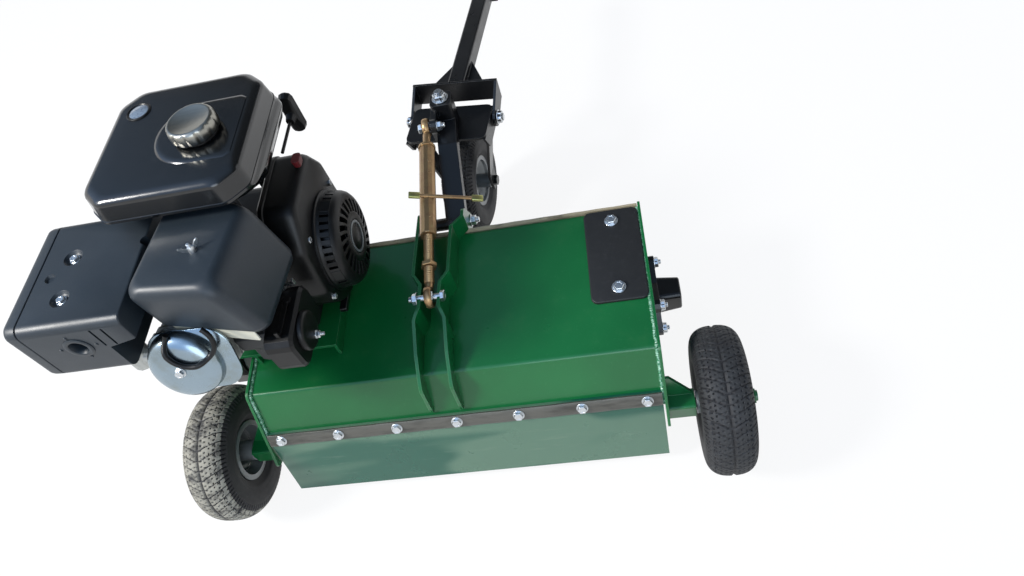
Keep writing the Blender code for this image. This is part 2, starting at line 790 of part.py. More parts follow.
def make_bearings(parent):
    """Cast flange housings on the side plates; the right one is closed by a tapered block."""
    bore = SHAFT_RADIUS + RUN_GAP / 2
    half = BEARING_BLOCK / 2
    for name, side in (("bearing_left", -1), ("bearing_right", 1)):
        inner = DECK_HALF + GAP
        plate = prism(bearing_outline(), "x", inner, inner + BEARING_PLATE)
        reach = BEARING_REACH if side > 0 else 0.032
        y0 = ROTOR_Y - half
        y1 = ROTOR_Y + half
        taper = 0.004
        body = block(
            [(inner + 0.004, y0, y1, ROTOR_Z - half, ROTOR_Z + half, 0.008),
             (inner + reach - 0.002, y0 + taper, y1 - taper, ROTOR_Z - half + taper, ROTOR_Z + half - taper, 0.008),
             (inner + reach, y0 + taper + 0.002, y1 - taper - 0.002, ROTOR_Z - half + taper + 0.002,
              ROTOR_Z + half - taper - 0.002, 0.008)], "x")
        heads = []
        for ky in (-1, 1):
            for kz in (-1, 1):
                centre = (ROTOR_Y + ky * BEARING_BOLT_Y, ROTOR_Z + kz * BEARING_BOLT_Z)
                heads.append(hexagon("x", centre, 0.0095, inner + BEARING_PLATE - 0.001, inner + BEARING_PLATE + 0.007))
        join(plate, body, *heads)
        if side > 0:
            cut(plate, rod("x", ROTOR_CENTRE, bore, inner - 0.01, inner + 0.034, 16))
        else:
            cut(plate, rod("x", ROTOR_CENTRE, bore, inner - 0.01, inner + 0.06, 16))
            plate.data.transform(Matrix.Scale(-1.0, 4, (1.0, 0.0, 0.0)))
            plate.data.flip_normals()
        finish(plate, name, "black_paint", parent, (side * inner, ROTOR_Y, ROTOR_Z))


def flail_place(i):
    span = 2 * (SHELL_HALF - 0.055)
    x = -span / 2 + span * i / (FLAIL_COUNT - 1)
    return x, FLAIL_STEP * i


def flail_pivot(i):
    x, angle = flail_place(i)
    return Vector((x, ROTOR_Y + FLAIL_PIVOT * math.cos(angle), ROTOR_Z + FLAIL_PIVOT * math.sin(angle)))


def make_rotor(parent):
    """A tube with stub shafts, and for each flail two lugs with a pin between them."""
    half = SHELL_HALF - 0.012
    tube = rod("x", ROTOR_CENTRE, ROTOR_TUBE, -half, half, ROUND)
    right_end = DECK_HALF + 0.030
    left_end = BELT_X - BELT_WIDTH / 2 - PULLEY_FLANGE - 0.010
    shaft = rod("x", ROTOR_CENTRE, SHAFT_RADIUS, left_end, right_end, 12)
    parts = [shaft]
    for i in range(FLAIL_COUNT):
        x, angle = flail_place(i)
        turn = (0.0, ROTOR_Y, ROTOR_Z)
        for side in (-1, 1):
            inner = x + side * (FLAIL_WIDTH / 2 + 0.0015)
            outer = inner + side * LUG_PLATE
            outline = [(ROTOR_Y + ROTOR_TUBE - 0.004, ROTOR_Z - 0.016)]
            outline += arc((ROTOR_Y + FLAIL_PIVOT, ROTOR_Z), 0.011, -math.pi / 2, math.pi / 2, 2)
            outline.append((ROTOR_Y + ROTOR_TUBE - 0.004, ROTOR_Z + 0.016))
            lug = prism(outline, "x", *sorted((inner, outer)))
            parts.append(turned(lug, "X", angle, turn))
        reach = FLAIL_WIDTH / 2 + LUG_PLATE
        pin = rod("x", (ROTOR_Y + FLAIL_PIVOT, ROTOR_Z), FLAIL_PIN, x - reach, x + reach, 6)
        parts.append(turned(pin, "X", angle, turn))
    join(tube, *parts)
    finish(tube, "rotor_shaft", "black_paint", parent, (0.0, ROTOR_Y, ROTOR_Z))


def make_flail(i, parent):
    """A forged Y flail: an eye on the pin, and two legs that splay out to sharpened feet."""
    x, angle = flail_place(i)
    y = ROTOR_Y + FLAIL_PIVOT
    eye = rod("x", (y, ROTOR_Z), FLAIL_EYE, x - FLAIL_WIDTH / 2, x + FLAIL_WIDTH / 2, 8)
    legs = []
    for side in (-1, 1):
        near = side * (FLAIL_WIDTH / 2 - FLAIL_PLATE)
        path = [(x + near, y), (x + near, y + FLAIL_REACH * 0.45), (x + side * FLAIL_SPREAD, y + FLAIL_REACH)]
        outline = ribbon(path if side < 0 else path[::-1], FLAIL_PLATE * 0.9)
        legs.append(prism(outline, "z", ROTOR_Z - 0.011, ROTOR_Z + 0.011))
    join(eye, *legs)
    cut(eye, rod("x", (y, ROTOR_Z), FLAIL_PIN + RUN_GAP, x - 0.03, x + 0.03, 8))
    turned(eye, "X", angle, (0.0, ROTOR_Y, ROTOR_Z))
    pivot = flail_pivot(i)
    finish(eye, "flail_%02d" % (i + 1), "worn_steel", parent, tuple(pivot))


def pulley(centre, radius, bore, name, look, parent, extra=()):
    """A V-belt pulley: the belt sits between its flanges on the root circle."""
    groove = BELT_WIDTH / 2 + GAP
    face = radius + BELT_THICK + 0.003
    left = BELT_X - groove - PULLEY_FLANGE
    right = BELT_X + groove + PULLEY_FLANGE
    profile = [(left, bore), (right, bore), (right, face), (right - PULLEY_FLANGE + 0.001, face),
               (BELT_X + groove, radius), (BELT_X - groove, radius), (left + PULLEY_FLANGE - 0.001, face),
               (left, face)]
    made = lathe(profile, "x", centre, ROUND)
    if extra:
        join(made, *extra)
    finish(made, name, look, parent, (BELT_X, *centre))
    return made


BELT_STEPS = 7
BELT_SPREAD = 1.0 / math.cos(math.pi / 2 / BELT_STEPS)


def idler_centre():
    """The idler presses on the slack run of the belt from outside, midway down."""
    middle = Vector(((ROTOR_Y + CRANK_Y) / 2, (ROTOR_Z + CRANK_Z) / 2))
    side = Vector((CRANK_Z - ROTOR_Z, ROTOR_Y - CRANK_Y)).normalized()
    belt_face = ((ENGINE_PULLEY + ROTOR_PULLEY) / 2 + BELT_THICK + GAP) * BELT_SPREAD
    reach = belt_face + GAP + IDLER_RADIUS
    return tuple(middle + side * reach)


def belt_loop(extra, steps=BELT_STEPS, spread=BELT_SPREAD):
    """Outline round both pulleys, with its chords no nearer than extra to their root circles."""
    low = Vector(ROTOR_CENTRE)
    high = Vector(CRANK_CENTRE)
    along = (high - low)
    lean = math.atan2(along[1], along[0])
    swell = math.asin((ENGINE_PULLEY - ROTOR_PULLEY) / along.length)
    first = arc(ROTOR_CENTRE, (ROTOR_PULLEY + extra) * spread, lean + math.pi / 2 + swell, lean + 1.5 * math.pi - swell, steps)
    second = arc(CRANK_CENTRE, (ENGINE_PULLEY + extra) * spread, lean - math.pi / 2 - swell, lean + math.pi / 2 + swell, steps)
    return first + second


def make_drive(parent, crank_parent, rotor_parent, idler_parent):
    pto = rod("x", CRANK_CENTRE, SHAFT_RADIUS, BELT_X - 0.014, PTO_FACE + 0.020, 12)
    pulley(CRANK_CENTRE, ENGINE_PULLEY, SHAFT_RADIUS - 0.004, "engine_pulley", "grey_steel", crank_parent, [pto])
    pulley(ROTOR_CENTRE, ROTOR_PULLEY, SHAFT_RADIUS + GAP, "rotor_pulley", "grey_steel", rotor_parent)

    inner = belt_loop(GAP)
    outer = belt_loop(GAP + BELT_THICK)
    half = BELT_WIDTH / 2
    slope = 0.0025
    rings = []
    for near, far in zip(inner, outer):
        rings.append([
            Vector((BELT_X - half + slope, *near)), Vector((BELT_X + half - slope, *near)),
            Vector((BELT_X + half, *far)), Vector((BELT_X - half, *far)),
        ])
    belt = loft(rings, closed=True)
    finish(belt, "drive_belt", "tyre_rubber", parent, (BELT_X, *ROTOR_CENTRE))

    centre = idler_centre()
    wide = BELT_WIDTH / 2 + 0.002
    wheel = lathe(
        [(BELT_X - wide, 0.0061), (BELT_X + wide, 0.0061), (BELT_X + wide, IDLER_RADIUS),
         (BELT_X - wide, IDLER_RADIUS)], "x", centre, ROUND)
    finish(wheel, "idler_pulley", "zinc", idler_parent, (BELT_X, *centre))

    # The arm runs from the side plate's face to the idler, on the inner side of the belt.
    arm_x = BELT_X + wide + 0.002
    foot = (centre[0] + 0.004, centre[1] - 0.070)
    plate_half = 0.011
    arm = prism(
        arc(foot, plate_half, math.pi, math.tau, 6) + arc(centre, plate_half, 0.0, math.pi, 6),
        "x", arm_x, arm_x + 0.006)
    post = rod("x", foot, 0.009, arm_x + 0.001, -DECK_HALF - GAP, 12)
    pin = rod("x", centre, 0.0055, BELT_X - wide - 0.004, arm_x + 0.004, 12)
    join(arm, post, pin)
    finish(arm, "idler_arm", "black_paint", parent, (arm_x, *foot))


def make_belt_guard(parent):
    """A tray over the pulleys and the idler, held by two posts on the side plate and one above."""
    reach = BELT_THICK + 0.003 + GUARD_CLEAR
    bulge = IDLER_RADIUS + GUARD_CLEAR
    tray = prism(belt_loop(reach + GUARD_WALL), "x", GUARD_OUTER, GUARD_INNER)
    join(tray, prism(circle(idler_centre(), bulge + GUARD_WALL, 16), "x", GUARD_OUTER, GUARD_INNER))
    floor = GUARD_OUTER + GUARD_WALL
    hollow = prism(belt_loop(reach), "x", floor, GUARD_INNER + 0.01)
    join(hollow, prism(circle(idler_centre(), bulge, 16), "x", floor, GUARD_INNER + 0.01))
    cut(tray, hollow)
    around = ROTOR_PULLEY + reach + GUARD_WALL + GUARD_POST * 0.5
    posts = []
    for angle in (math.radians(-120.0), math.radians(-60.0)):
        centre = (ROTOR_Y + around * math.cos(angle), ROTOR_Z + around * math.sin(angle))
        posts.append(rod("x", centre, GUARD_POST, GUARD_OUTER + 0.001, -DECK_HALF - GAP, 8))
    above = (CRANK_Y, CRANK_Z + ENGINE_PULLEY + reach + GUARD_WALL + GUARD_POST * 0.5)
    posts.append(rod("x", above, GUARD_POST, GUARD_OUTER + 0.001, PTO_FACE - GAP, 8))
    join(tray, *posts)
    finish(tray, "belt_guard", "black_paint", parent, (GUARD_INNER, *ROTOR_CENTRE))


def cylinder_point(along, up=0.0):
    """A place on the engine's tilted cylinder: along is the distance from the crankshaft."""
    lift = up - CYLINDER_DROP
    return (
        CRANK_Y - along * math.cos(CYLINDER_TILT) + lift * math.sin(CYLINDER_TILT),
        CRANK_Z + along * math.sin(CYLINDER_TILT) + lift * math.cos(CYLINDER_TILT),
    )


def round_on_cylinder(levels, sides=20):
    """Lofts circles along the cylinder: (along, radius)."""
    rings = []
    for along, radius in levels:
        ring = []
        for k in range(sides):
            angle = math.tau * k / sides
            place = cylinder_point(along, radius * math.sin(angle))
            ring.append(Vector((CYLINDER_X + radius * math.cos(angle), *place)))
        rings.append(ring)
    return loft(rings)


def along_cylinder(levels, steps=3, shift=0.0):
    """Lofts rounded rectangles along the cylinder: (along, half width, half height, radius)."""
    rings = []
    x = CYLINDER_X + shift
    for along, wide, high, radius in levels:
        ring = rounded_rect(x - wide, x + wide, -high, high, radius, steps)
        rings.append([Vector((x, *cylinder_point(along, up))) for x, up in ring])
    return loft(rings)


def make_engine_body(parent):
    """Crankcase with its finned cylinder and tank posts, the head with its port, the cover."""
    rear = CASE_REAR
    front = CASE_FRONT
    outline = rounded(
        [(rear, ENGINE_BASE), (front, ENGINE_BASE), (front, CRANK_Z + 0.050), (front - 0.045, CASE_TOP),
         (rear + 0.050, CASE_TOP), (rear, CRANK_Z + 0.045)],
        [0.010, 0.010, 0.040, 0.030, 0.030, 0.030], 3)
    case = prism(outline, "x", PTO_FACE, CASE_RIGHT)
    parts = [along_cylinder([(0.060, 0.050, 0.040, 0.03), (HEAD_REACH - 0.100, 0.050, 0.040, 0.03)], 2)]
    first = 0.128
    pitch = (HEAD_REACH - 0.100 - first) / FIN_COUNT
    for i in range(FIN_COUNT):
        at = first + pitch * i
        parts.append(along_cylinder([(at, FIN_HALF, FIN_HIGH, 0.02), (at + FIN_THICK, FIN_HALF, FIN_HIGH, 0.02)], 1))
    for x in (PTO_FACE + 0.028, CASE_RIGHT - 0.048):
        parts.append(box((x - 0.02, rear - 0.020, ENGINE_BASE), (x + 0.02, front + 0.018, ENGINE_BASE + 0.014)))
    for x in (PTO_FACE + 0.028, CASE_RIGHT - 0.030):
        for y in (TANK_REAR + 0.090, TANK_FRONT - 0.078):
            parts.append(rod("z", (x, y), 0.006, CASE_TOP - 0.02, TANK_BOTTOM - GAP, 8))
    join(case, *parts)
    cut(case, rod("x", CRANK_CENTRE, SHAFT_RADIUS + RUN_GAP, PTO_FACE - 0.03, PTO_FACE + 0.021, 12))
    finish(case, "crankcase", "cast_aluminium", parent, (PTO_FACE, CRANK_Y, ENGINE_BASE))

    at = HEAD_REACH - 0.100 + GAP
    face = HEAD_REACH - 0.038
    head = along_cylinder([(at, 0.058, HEAD_HIGH, 0.02), (face, 0.058, HEAD_HIGH, 0.02)], 2)
    fins = []
    for i in range(3):
        place = at + 0.010 + 0.017 * i
        fins.append(along_cylinder(
            [(place, HEAD_HALF, FIN_HIGH, 0.02), (place + FIN_THICK, HEAD_HALF, FIN_HIGH, 0.02)], 1))
    exhaust = cylinder_point((at + face) / 2)
    intake = cylinder_point(at + 0.017)
    fins.append(rod("x", exhaust, 0.015, EXHAUST_X, CYLINDER_X, ROUND // 2 + 4))
    fins.append(rod("z", (EXHAUST_X, exhaust[0]), 0.020, exhaust[1] - 0.018, MUFFLER_BOTTOM - GAP, ROUND // 2 + 4))
    fins.append(rod("x", intake, 0.013, CYLINDER_X, CYLINDER_X + HEAD_HALF, ROUND // 2 + 4))
    join(head, *fins)
    finish(head, "cylinder_head", "cast_aluminium", parent, (CYLINDER_X, *cylinder_point(at)))

    at = face + GAP
    flange = [(at, 0.070, 0.058, 0.040), (at + 0.005, 0.070, 0.058, 0.040)]
    cover = along_cylinder(flange, 3, COVER_SHIFT)
    wide = COVER_ROUND
    dome = round_on_cylinder([
        (at + 0.003, wide), (at + 0.016, wide - 0.001), (at + 0.024, wide - 0.006), (at + 0.030, wide - 0.018),
        (at + 0.032, wide - 0.034)])
    bolt_at = cylinder_point(at + 0.028)
    head_bolt = hexagon("y", (CYLINDER_X, bolt_at[1]), 0.0085, bolt_at[0] - 0.013, bolt_at[0])
    join(cover, dome, turned(head_bolt, "X", -CYLINDER_TILT, (CYLINDER_X, *bolt_at)))
    finish(cover, "valve_cover", "zinc", parent, (CYLINDER_X, *cylinder_point(at)), 30.0)


def make_blower(parent):
    """Fan housing, its slotted recoil cover, and the starter's grip."""
    outline = arc(CRANK_CENTRE, BLOWER_RADIUS, math.radians(-195.0), math.radians(15.0), 12)
    outline += rounded(
        [(CRANK_Y + 0.112, CRANK_Z + 0.100), (CRANK_Y + 0.080, BLOWER_TOP), (CRANK_Y - 0.060, BLOWER_TOP),
         (CRANK_Y - 0.105, CRANK_Z + 0.085)],
        0.03, 3, closed=False)
    left = CASE_RIGHT + GAP
    right = RECOIL_FACE - 0.045
    middle = Vector(CRANK_CENTRE)
    rings = []
    for x, share in ((left, 1.0), (right - 0.010, 1.0), (right - 0.003, 0.975), (right, 0.93)):
        rings.append([Vector((x, *(middle + (Vector(point) - middle) * share))) for point in outline])
    housing = loft(rings)
    guide = block([
        (GRIP_Y - ROPE_LENGTH - 0.010, GRIP_X - GUIDE_HALF, GRIP_X + GUIDE_HALF, BLOWER_TOP - 0.040, GRIP_Z + 0.020,
         0.006),
        (GRIP_Y - 0.012, GRIP_X - GUIDE_HALF, GRIP_X + GUIDE_HALF, GRIP_Z - 0.034, GRIP_Z + 0.008, 0.006)], "y", 2)
    join(housing, guide)
    rope_way = rod("y", (GRIP_X, GRIP_Z), ROPE_RADIUS + RUN_GAP, GRIP_Y - ROPE_LENGTH - 0.002, GRIP_Y, 8)
    cut(housing, rope_way)
    finish(housing, "blower_housing", "engine_black", parent, (left, *CRANK_CENTRE))

    inner = right + GAP
    wall = COVER_WALL
    face = RECOIL_FACE
    profile = [
        (inner, RECOIL_RADIUS + 0.004), (inner + 0.004, RECOIL_RADIUS + 0.004), (inner + 0.006, RECOIL_RADIUS),
        (face - 0.016, RECOIL_RADIUS - 0.004), (face - 0.006, RECOIL_RADIUS - 0.012),
        (face, 0.034), (face, 0.004), (face - wall, 0.004), (face - wall, 0.032),
        (face - 0.006 - wall, RECOIL_RADIUS - 0.014), (inner, RECOIL_RADIUS - wall),
    ]
    cover = lathe(profile, "x", CRANK_CENTRE, 20)
    slots = []
    for i in range(RECOIL_SLOTS):
        slot = box((face - 0.030, CRANK_Y - 0.0040, CRANK_Z + 0.040),
                   (face + 0.01, CRANK_Y + 0.0040, CRANK_Z + RECOIL_RADIUS - 0.020))
        slots.append(turned(slot, "X", math.tau * i / RECOIL_SLOTS, (0.0, *CRANK_CENTRE)))
    cut(cover, *slots)
    finish(cover, "recoil_cover", "black_plastic", parent, (inner, *CRANK_CENTRE))


GRIP_X = CASE_RIGHT + 0.036
GRIP_Y = CRANK_Y + 0.150
GRIP_Z = BLOWER_TOP + 0.017
GUIDE_HALF = 0.017
ROPE_LENGTH = STARTER_PULL + 0.022


def make_starter_grip(parent):
    """The grip rests on the housing's guide, with the first of its rope inside."""
    levels = []
    for y, wide, high, radius in (
        (-0.0117, 0.007, 0.007, 0.005), (0.001, 0.009, 0.010, 0.007), (0.006, 0.012, 0.038, 0.009),
        (0.020, 0.013, 0.040, 0.010), (0.026, 0.008, 0.034, 0.007),
    ):
        levels.append((GRIP_Y + y, GRIP_X - wide, GRIP_X + wide, GRIP_Z - high, GRIP_Z + high, radius))
    grip = block(levels, "y", 2)
    join(grip, rod("y", (GRIP_X, GRIP_Z), ROPE_RADIUS, GRIP_Y - ROPE_LENGTH, GRIP_Y, 8))
    finish(grip, "starter_grip", "black_plastic", parent, (GRIP_X, GRIP_Y, GRIP_Z))


def make_tank(parent, cap_parent):
    left, right, rear, front = TANK_LEFT, TANK_RIGHT, TANK_REAR, TANK_FRONT
    lip = TANK_FLANGE
    round_corner = 0.052
    levels = []
    for z, inset, behind, radius in (
        (TANK_BOTTOM, 0.026, 0.062, 0.030), (TANK_BOTTOM + 0.006, 0.010, 0.056, 0.036),
        (TANK_BOTTOM + 0.014, 0.002, 0.053, round_corner), (AIR_TOP + 0.003, -0.005, 0.052, round_corner),
        (AIR_TOP + 0.014, -0.003, 0.006, round_corner),
        (TANK_SEAM - 0.003, -lip, -lip, round_corner), (TANK_SEAM + 0.002, -lip, -lip, round_corner),
        (TANK_SEAM + 0.003, 0.0, 0.0, round_corner), (TANK_TOP - 0.011, 0.003, 0.003, round_corner),
        (TANK_TOP - 0.003, 0.009, 0.009, 0.049), (TANK_TOP, 0.018, 0.018, 0.045),
    ):
        levels.append((z, left + inset, right - inset, rear + behind, front - inset, radius))
    tank = block(levels, "z", 2)
    neck = rod("z", (CAP_X, CAP_Y), NECK_RADIUS, TANK_TOP - 0.004, TANK_TOP + NECK_HEIGHT, ROUND)
    boss = lathe([(TANK_TOP - 0.004, 0.030), (TANK_TOP + 0.003, 0.030), (TANK_TOP + 0.003, 0.046), (TANK_TOP - 0.004, 0.052)],
                 "z", (CAP_X, CAP_Y), ROUND)
    join(tank, neck, boss)
    finish(tank, "fuel_tank", "engine_black", parent, (left, rear, TANK_BOTTOM), 40.0)

    low = TANK_TOP + NECK_HEIGHT + GAP
    rings = []
    for z, share in ((low, 0.93), (low + 0.003, 1.0), (low + CAP_HEIGHT - 0.006, 1.0), (low + CAP_HEIGHT - 0.001, 0.93),
                     (low + CAP_HEIGHT, 0.80)):
        ring = []
        for k in range(24):
            angle = math.tau * k / 24
            radius = CAP_RADIUS * share * (1.0 - 0.028 * (1.0 + math.cos(angle * 12)) / 2)
            ring.append(Vector((CAP_X + radius * math.cos(angle), CAP_Y + radius * math.sin(angle), z)))
        rings.append(ring)
    cap = loft(rings)
    finish(cap, "fuel_cap", "cap_chrome", cap_parent, (CAP_X, CAP_Y, low), 40.0)


def intake_place():
    """Where the carburettor's intake stands, under the air cleaner."""
    return ((CYLINDER_X + HEAD_HALF + CONTROL_LEFT) / 2, 0.031)


def make_air_cleaner(parent, nut_parent):
    """A box with a slanted bottom and a sloped right side, turned a little, on a neck."""
    levels = []
    slope = (AIR_FOOT - AIR_RIGHT) / (AIR_TOP - AIR_BOTTOM)
    for z, inset, radius in (
        (AIR_BOTTOM, 0.020, 0.016), (AIR_BOTTOM + 0.004, 0.010, 0.020), (AIR_BOTTOM + 0.012, 0.004, 0.020),
        (AIR_TOP - 0.022, 0.0, 0.020), (AIR_TOP - 0.006, 0.005, 0.020), (AIR_TOP, 0.016, 0.016),
    ):
        right = AIR_RIGHT + slope * (AIR_TOP - z)
        levels.append((z, AIR_LEFT + inset, right - inset, AIR_REAR + inset, AIR_FRONT - inset * 0.4, radius))
    cover = block(levels, "z", 3)
    for vert in cover.data.vertices:
        share = (AIR_TOP - vert.co.z) / (AIR_TOP - AIR_BOTTOM)
        vert.co.z -= AIR_SLANT * share * (vert.co.x - AIR_LEFT) / (AIR_FOOT - AIR_LEFT)
    turned(cover, "Z", AIR_YAW, ((AIR_LEFT + AIR_RIGHT) / 2, (AIR_REAR + AIR_FRONT) / 2, AIR_BOTTOM))
    join(cover, rod("z", intake_place(), 0.020, AIR_NECK, AIR_BOTTOM + 0.010, 12))
    finish(cover, "air_cleaner", "engine_black", parent, (AIR_LEFT, AIR_REAR, AIR_BOTTOM), 40.0)

    x = (AIR_LEFT + AIR_RIGHT) / 2 + 0.018
    y = AIR_REAR + 0.073
    low = AIR_TOP + GAP
    hub = rod("z", (x, y), 0.0055, low, low + 0.009, 12)
    wings = []
    for side in (-1, 1):
        outline = [(x, low + 0.001), (x + side * 0.008, low + 0.003), (x + side * 0.017, low + 0.013),
                   (x + side * 0.013, low + 0.017), (x, low + 0.008)]
        wings.append(prism(outline, "y", y - 0.0014, y + 0.0014))
    join(hub, *wings)
    turned(hub, "Z", math.radians(35.0), (x, y, low))
    finish(hub, "wing_nut", "zinc", nut_parent, (x, y, low))


def make_muffler(parent):
    """The heat guard's two halves meet in a seam; slots and the outlet open to the rear."""
    seam = MUFFLER_LEFT + 0.026
    levels = []
    for x, inset, radius in (
        (MUFFLER_LEFT, 0.014, 0.022), (MUFFLER_LEFT + 0.010, 0.002, 0.026), (seam - 0.001, 0.002, 0.026),
        (seam, 0.0005, 0.026), (MUFFLER_RIGHT - 0.003, 0.0, 0.026), (MUFFLER_RIGHT, 0.003, 0.024),
    ):
        levels.append((x, MUFFLER_REAR + inset, MUFFLER_FRONT - inset, MUFFLER_BOTTOM + inset, MUFFLER_TOP - inset, radius))
    guard = block(levels, "x", 3)
    outlet_x = (MUFFLER_LEFT + MUFFLER_RIGHT) / 2 - 0.004
    outlet_z = (MUFFLER_BOTTOM + MUFFLER_TOP) / 2 + 0.006
    tools = [rod("y", (outlet_x, outlet_z), 0.016, MUFFLER_REAR - 0.02, MUFFLER_REAR + 0.020, 14)]
    for i in range(3):
        x = MUFFLER_SIDE - 0.018 - 0.018 * i
        slot = box((x - 0.002, MUFFLER_REAR - 0.02, outlet_z + 0.005), (x + 0.002, MUFFLER_REAR + 0.006, outlet_z + 0.040))
        tools.append(turned(slot, "Y", math.radians(18.0), (x, MUFFLER_REAR, outlet_z + 0.022)))
    for y in (MUFFLER_REAR + 0.052, MUFFLER_REAR + 0.128):
        x = MUFFLER_LEFT + 0.066
        tools.append(rod("z", (x, y), 0.012, MUFFLER_TOP - 0.005, MUFFLER_TOP + 0.02, 10))
    above_head = [
        (MUFFLER_SIDE, MUFFLER_BOTTOM - 0.02), (MUFFLER_SIDE, MUFFLER_TOP - 0.062),
        (MUFFLER_RIGHT + 0.01, MUFFLER_TOP - 0.046), (MUFFLER_RIGHT + 0.01, MUFFLER_BOTTOM - 0.02)]
    tools.append(prism(above_head, "y", MUFFLER_REAR - 0.02, MUFFLER_FRONT + 0.02))
    cut(guard, *tools)
    finish(guard, "muffler_guard", "engine_black", parent, (MUFFLER_RIGHT, MUFFLER_REAR, MUFFLER_BOTTOM))


THROTTLE_PIVOT = (-0.212, 0.094)
CHOKE_PIVOT = (-0.199, 0.066)


def make_lever(name, look, pivot, reach, turn, low, parent):
    """A flat lever on a vertical pin, with a folded tip; built along -Y and turned."""
    x, y = pivot
    disc = rod("z", pivot, 0.0075, CONTROL_TOP + GAP, low + 0.003, 12)
    outline = [(x - 0.0045, y), (x - 0.0030, y - reach), (x + 0.0030, y - reach), (x + 0.0045, y)]
    arm = prism(outline, "z", low, low + 0.0025)
    tip = box((x - 0.0030, y - reach - 0.0005, low + 0.0005), (x + 0.0030, y - reach + 0.0025, low + 0.012))
    join(disc, arm, tip)
    turned(disc, "Z", turn, (x, y, low))
    finish(disc, name, look, parent, (x, y, CONTROL_TOP))


def make_controls(parent, choke_parent, throttle_parent, switch_parent):
    """Carburettor, the control box beside it, and its levers."""
    left = CYLINDER_X + HEAD_HALF + GAP
    right = CONTROL_LEFT - GAP
    middle = intake_place()
    body = block([(left, 0.004, 0.058, 0.470, 0.515, 0.010), (right, 0.004, 0.058, 0.470, 0.515, 0.010)], "x", 2)
    bowl = rod("z", middle, 0.024, 0.438, 0.472, 12)
    intake = rod("z", middle, 0.017, 0.512, AIR_NECK - GAP, 12)
    join(body, bowl, intake)
    finish(body, "carburettor", "cast_aluminium", parent, (*middle, 0.490))

    left = CONTROL_LEFT
    right = CONTROL_RIGHT
    rear = CONTROL_REAR
    front = CONTROL_FRONT
    low = CONTROL_BOTTOM
    top = CONTROL_TOP
    plate = block([
        (left, rear, front, low, top, 0.020), (right - 0.005, rear, front, low, top, 0.020),
        (right, rear + 0.005, front - 0.005, low + 0.005, top - 0.005, 0.016)], "x")
    cover = rod("x", ((rear + front) / 2 - 0.012, (low + top) / 2), 0.032, right - 0.003, right + 0.006, ROUND)
    join(plate, cover)
    finish(plate, "control_box", "black_plastic", parent, (left, rear, low))

    make_lever("throttle_lever", "zinc", THROTTLE_PIVOT, 0.026, math.pi / 2, CONTROL_TOP + 0.008, throttle_parent)
    make_lever("choke_lever", "black_plastic", CHOKE_PIVOT, 0.072, 0.0, CONTROL_TOP + 0.003, choke_parent)

    x = CASE_RIGHT + 0.061
    y = CRANK_Y + 0.045
    top = BLOWER_TOP
    knob = block([
        (top + GAP, x - 0.006, x + 0.006, y - 0.010, y + 0.010, 0.004),
        (top + 0.014, x - 0.0075, x + 0.0075, y - 0.012, y + 0.012, 0.005)], "z", 3)
    finish(knob, "stop_switch", "red_plastic", switch_parent, (x, y, top))


LINK_RUN = math.hypot(EYE_HIGH_X - HITCH_X, EYE_HIGH_Y - EYE_LOW_Y)
LINK_YAW = math.atan2(HITCH_X - EYE_HIGH_X, EYE_HIGH_Y - EYE_LOW_Y)


def in_link(along, up):
    """A place on the turnbuckle's line from its lower eye, before the line is turned to the upper."""
    low = Vector((EYE_LOW_Y, EYE_LOW_Z))
    line = (Vector((EYE_LOW_Y + LINK_RUN, EYE_HIGH_Z)) - low).normalized()
    side = Vector((-line[1], line[0]))
    return tuple(low + line * along + side * up)


LINK_LENGTH = math.hypot(LINK_RUN, EYE_HIGH_Z - EYE_LOW_Z)
TUBE_START = 0.144
LOCK_NUT = 0.068
LOCK_NUT_RADIUS = 0.0160
TUBE_END = LINK_LENGTH - 0.060


def link_round(levels, sides=12):
    """A turned piece on the turnbuckle's line: (along, radius) pairs."""
    rings = []
    for along, radius in levels:
        ring = []
        for k in range(sides):
            angle = math.tau * k / sides
            y, z = in_link(along, radius * math.sin(angle))
            ring.append(Vector((HITCH_X + radius * math.cos(angle), y, z)))
        rings.append(ring)
    return loft(rings)


def place_link(made, name, along, parent):
    """Turns a finished link piece from the plane of the lower eye towards the upper eye."""
    turned(made, "Z", LINK_YAW, (HITCH_X, EYE_LOW_Y, EYE_LOW_Z))
    flat = Vector((HITCH_X, *in_link(along, 0.0))) - Vector((HITCH_X, EYE_LOW_Y, EYE_LOW_Z))
    origin = Vector((HITCH_X, EYE_LOW_Y, EYE_LOW_Z)) + Matrix.Rotation(LINK_YAW, 3, "Z") @ flat
    finish(made, name, "gold_zinc", parent, tuple(origin))


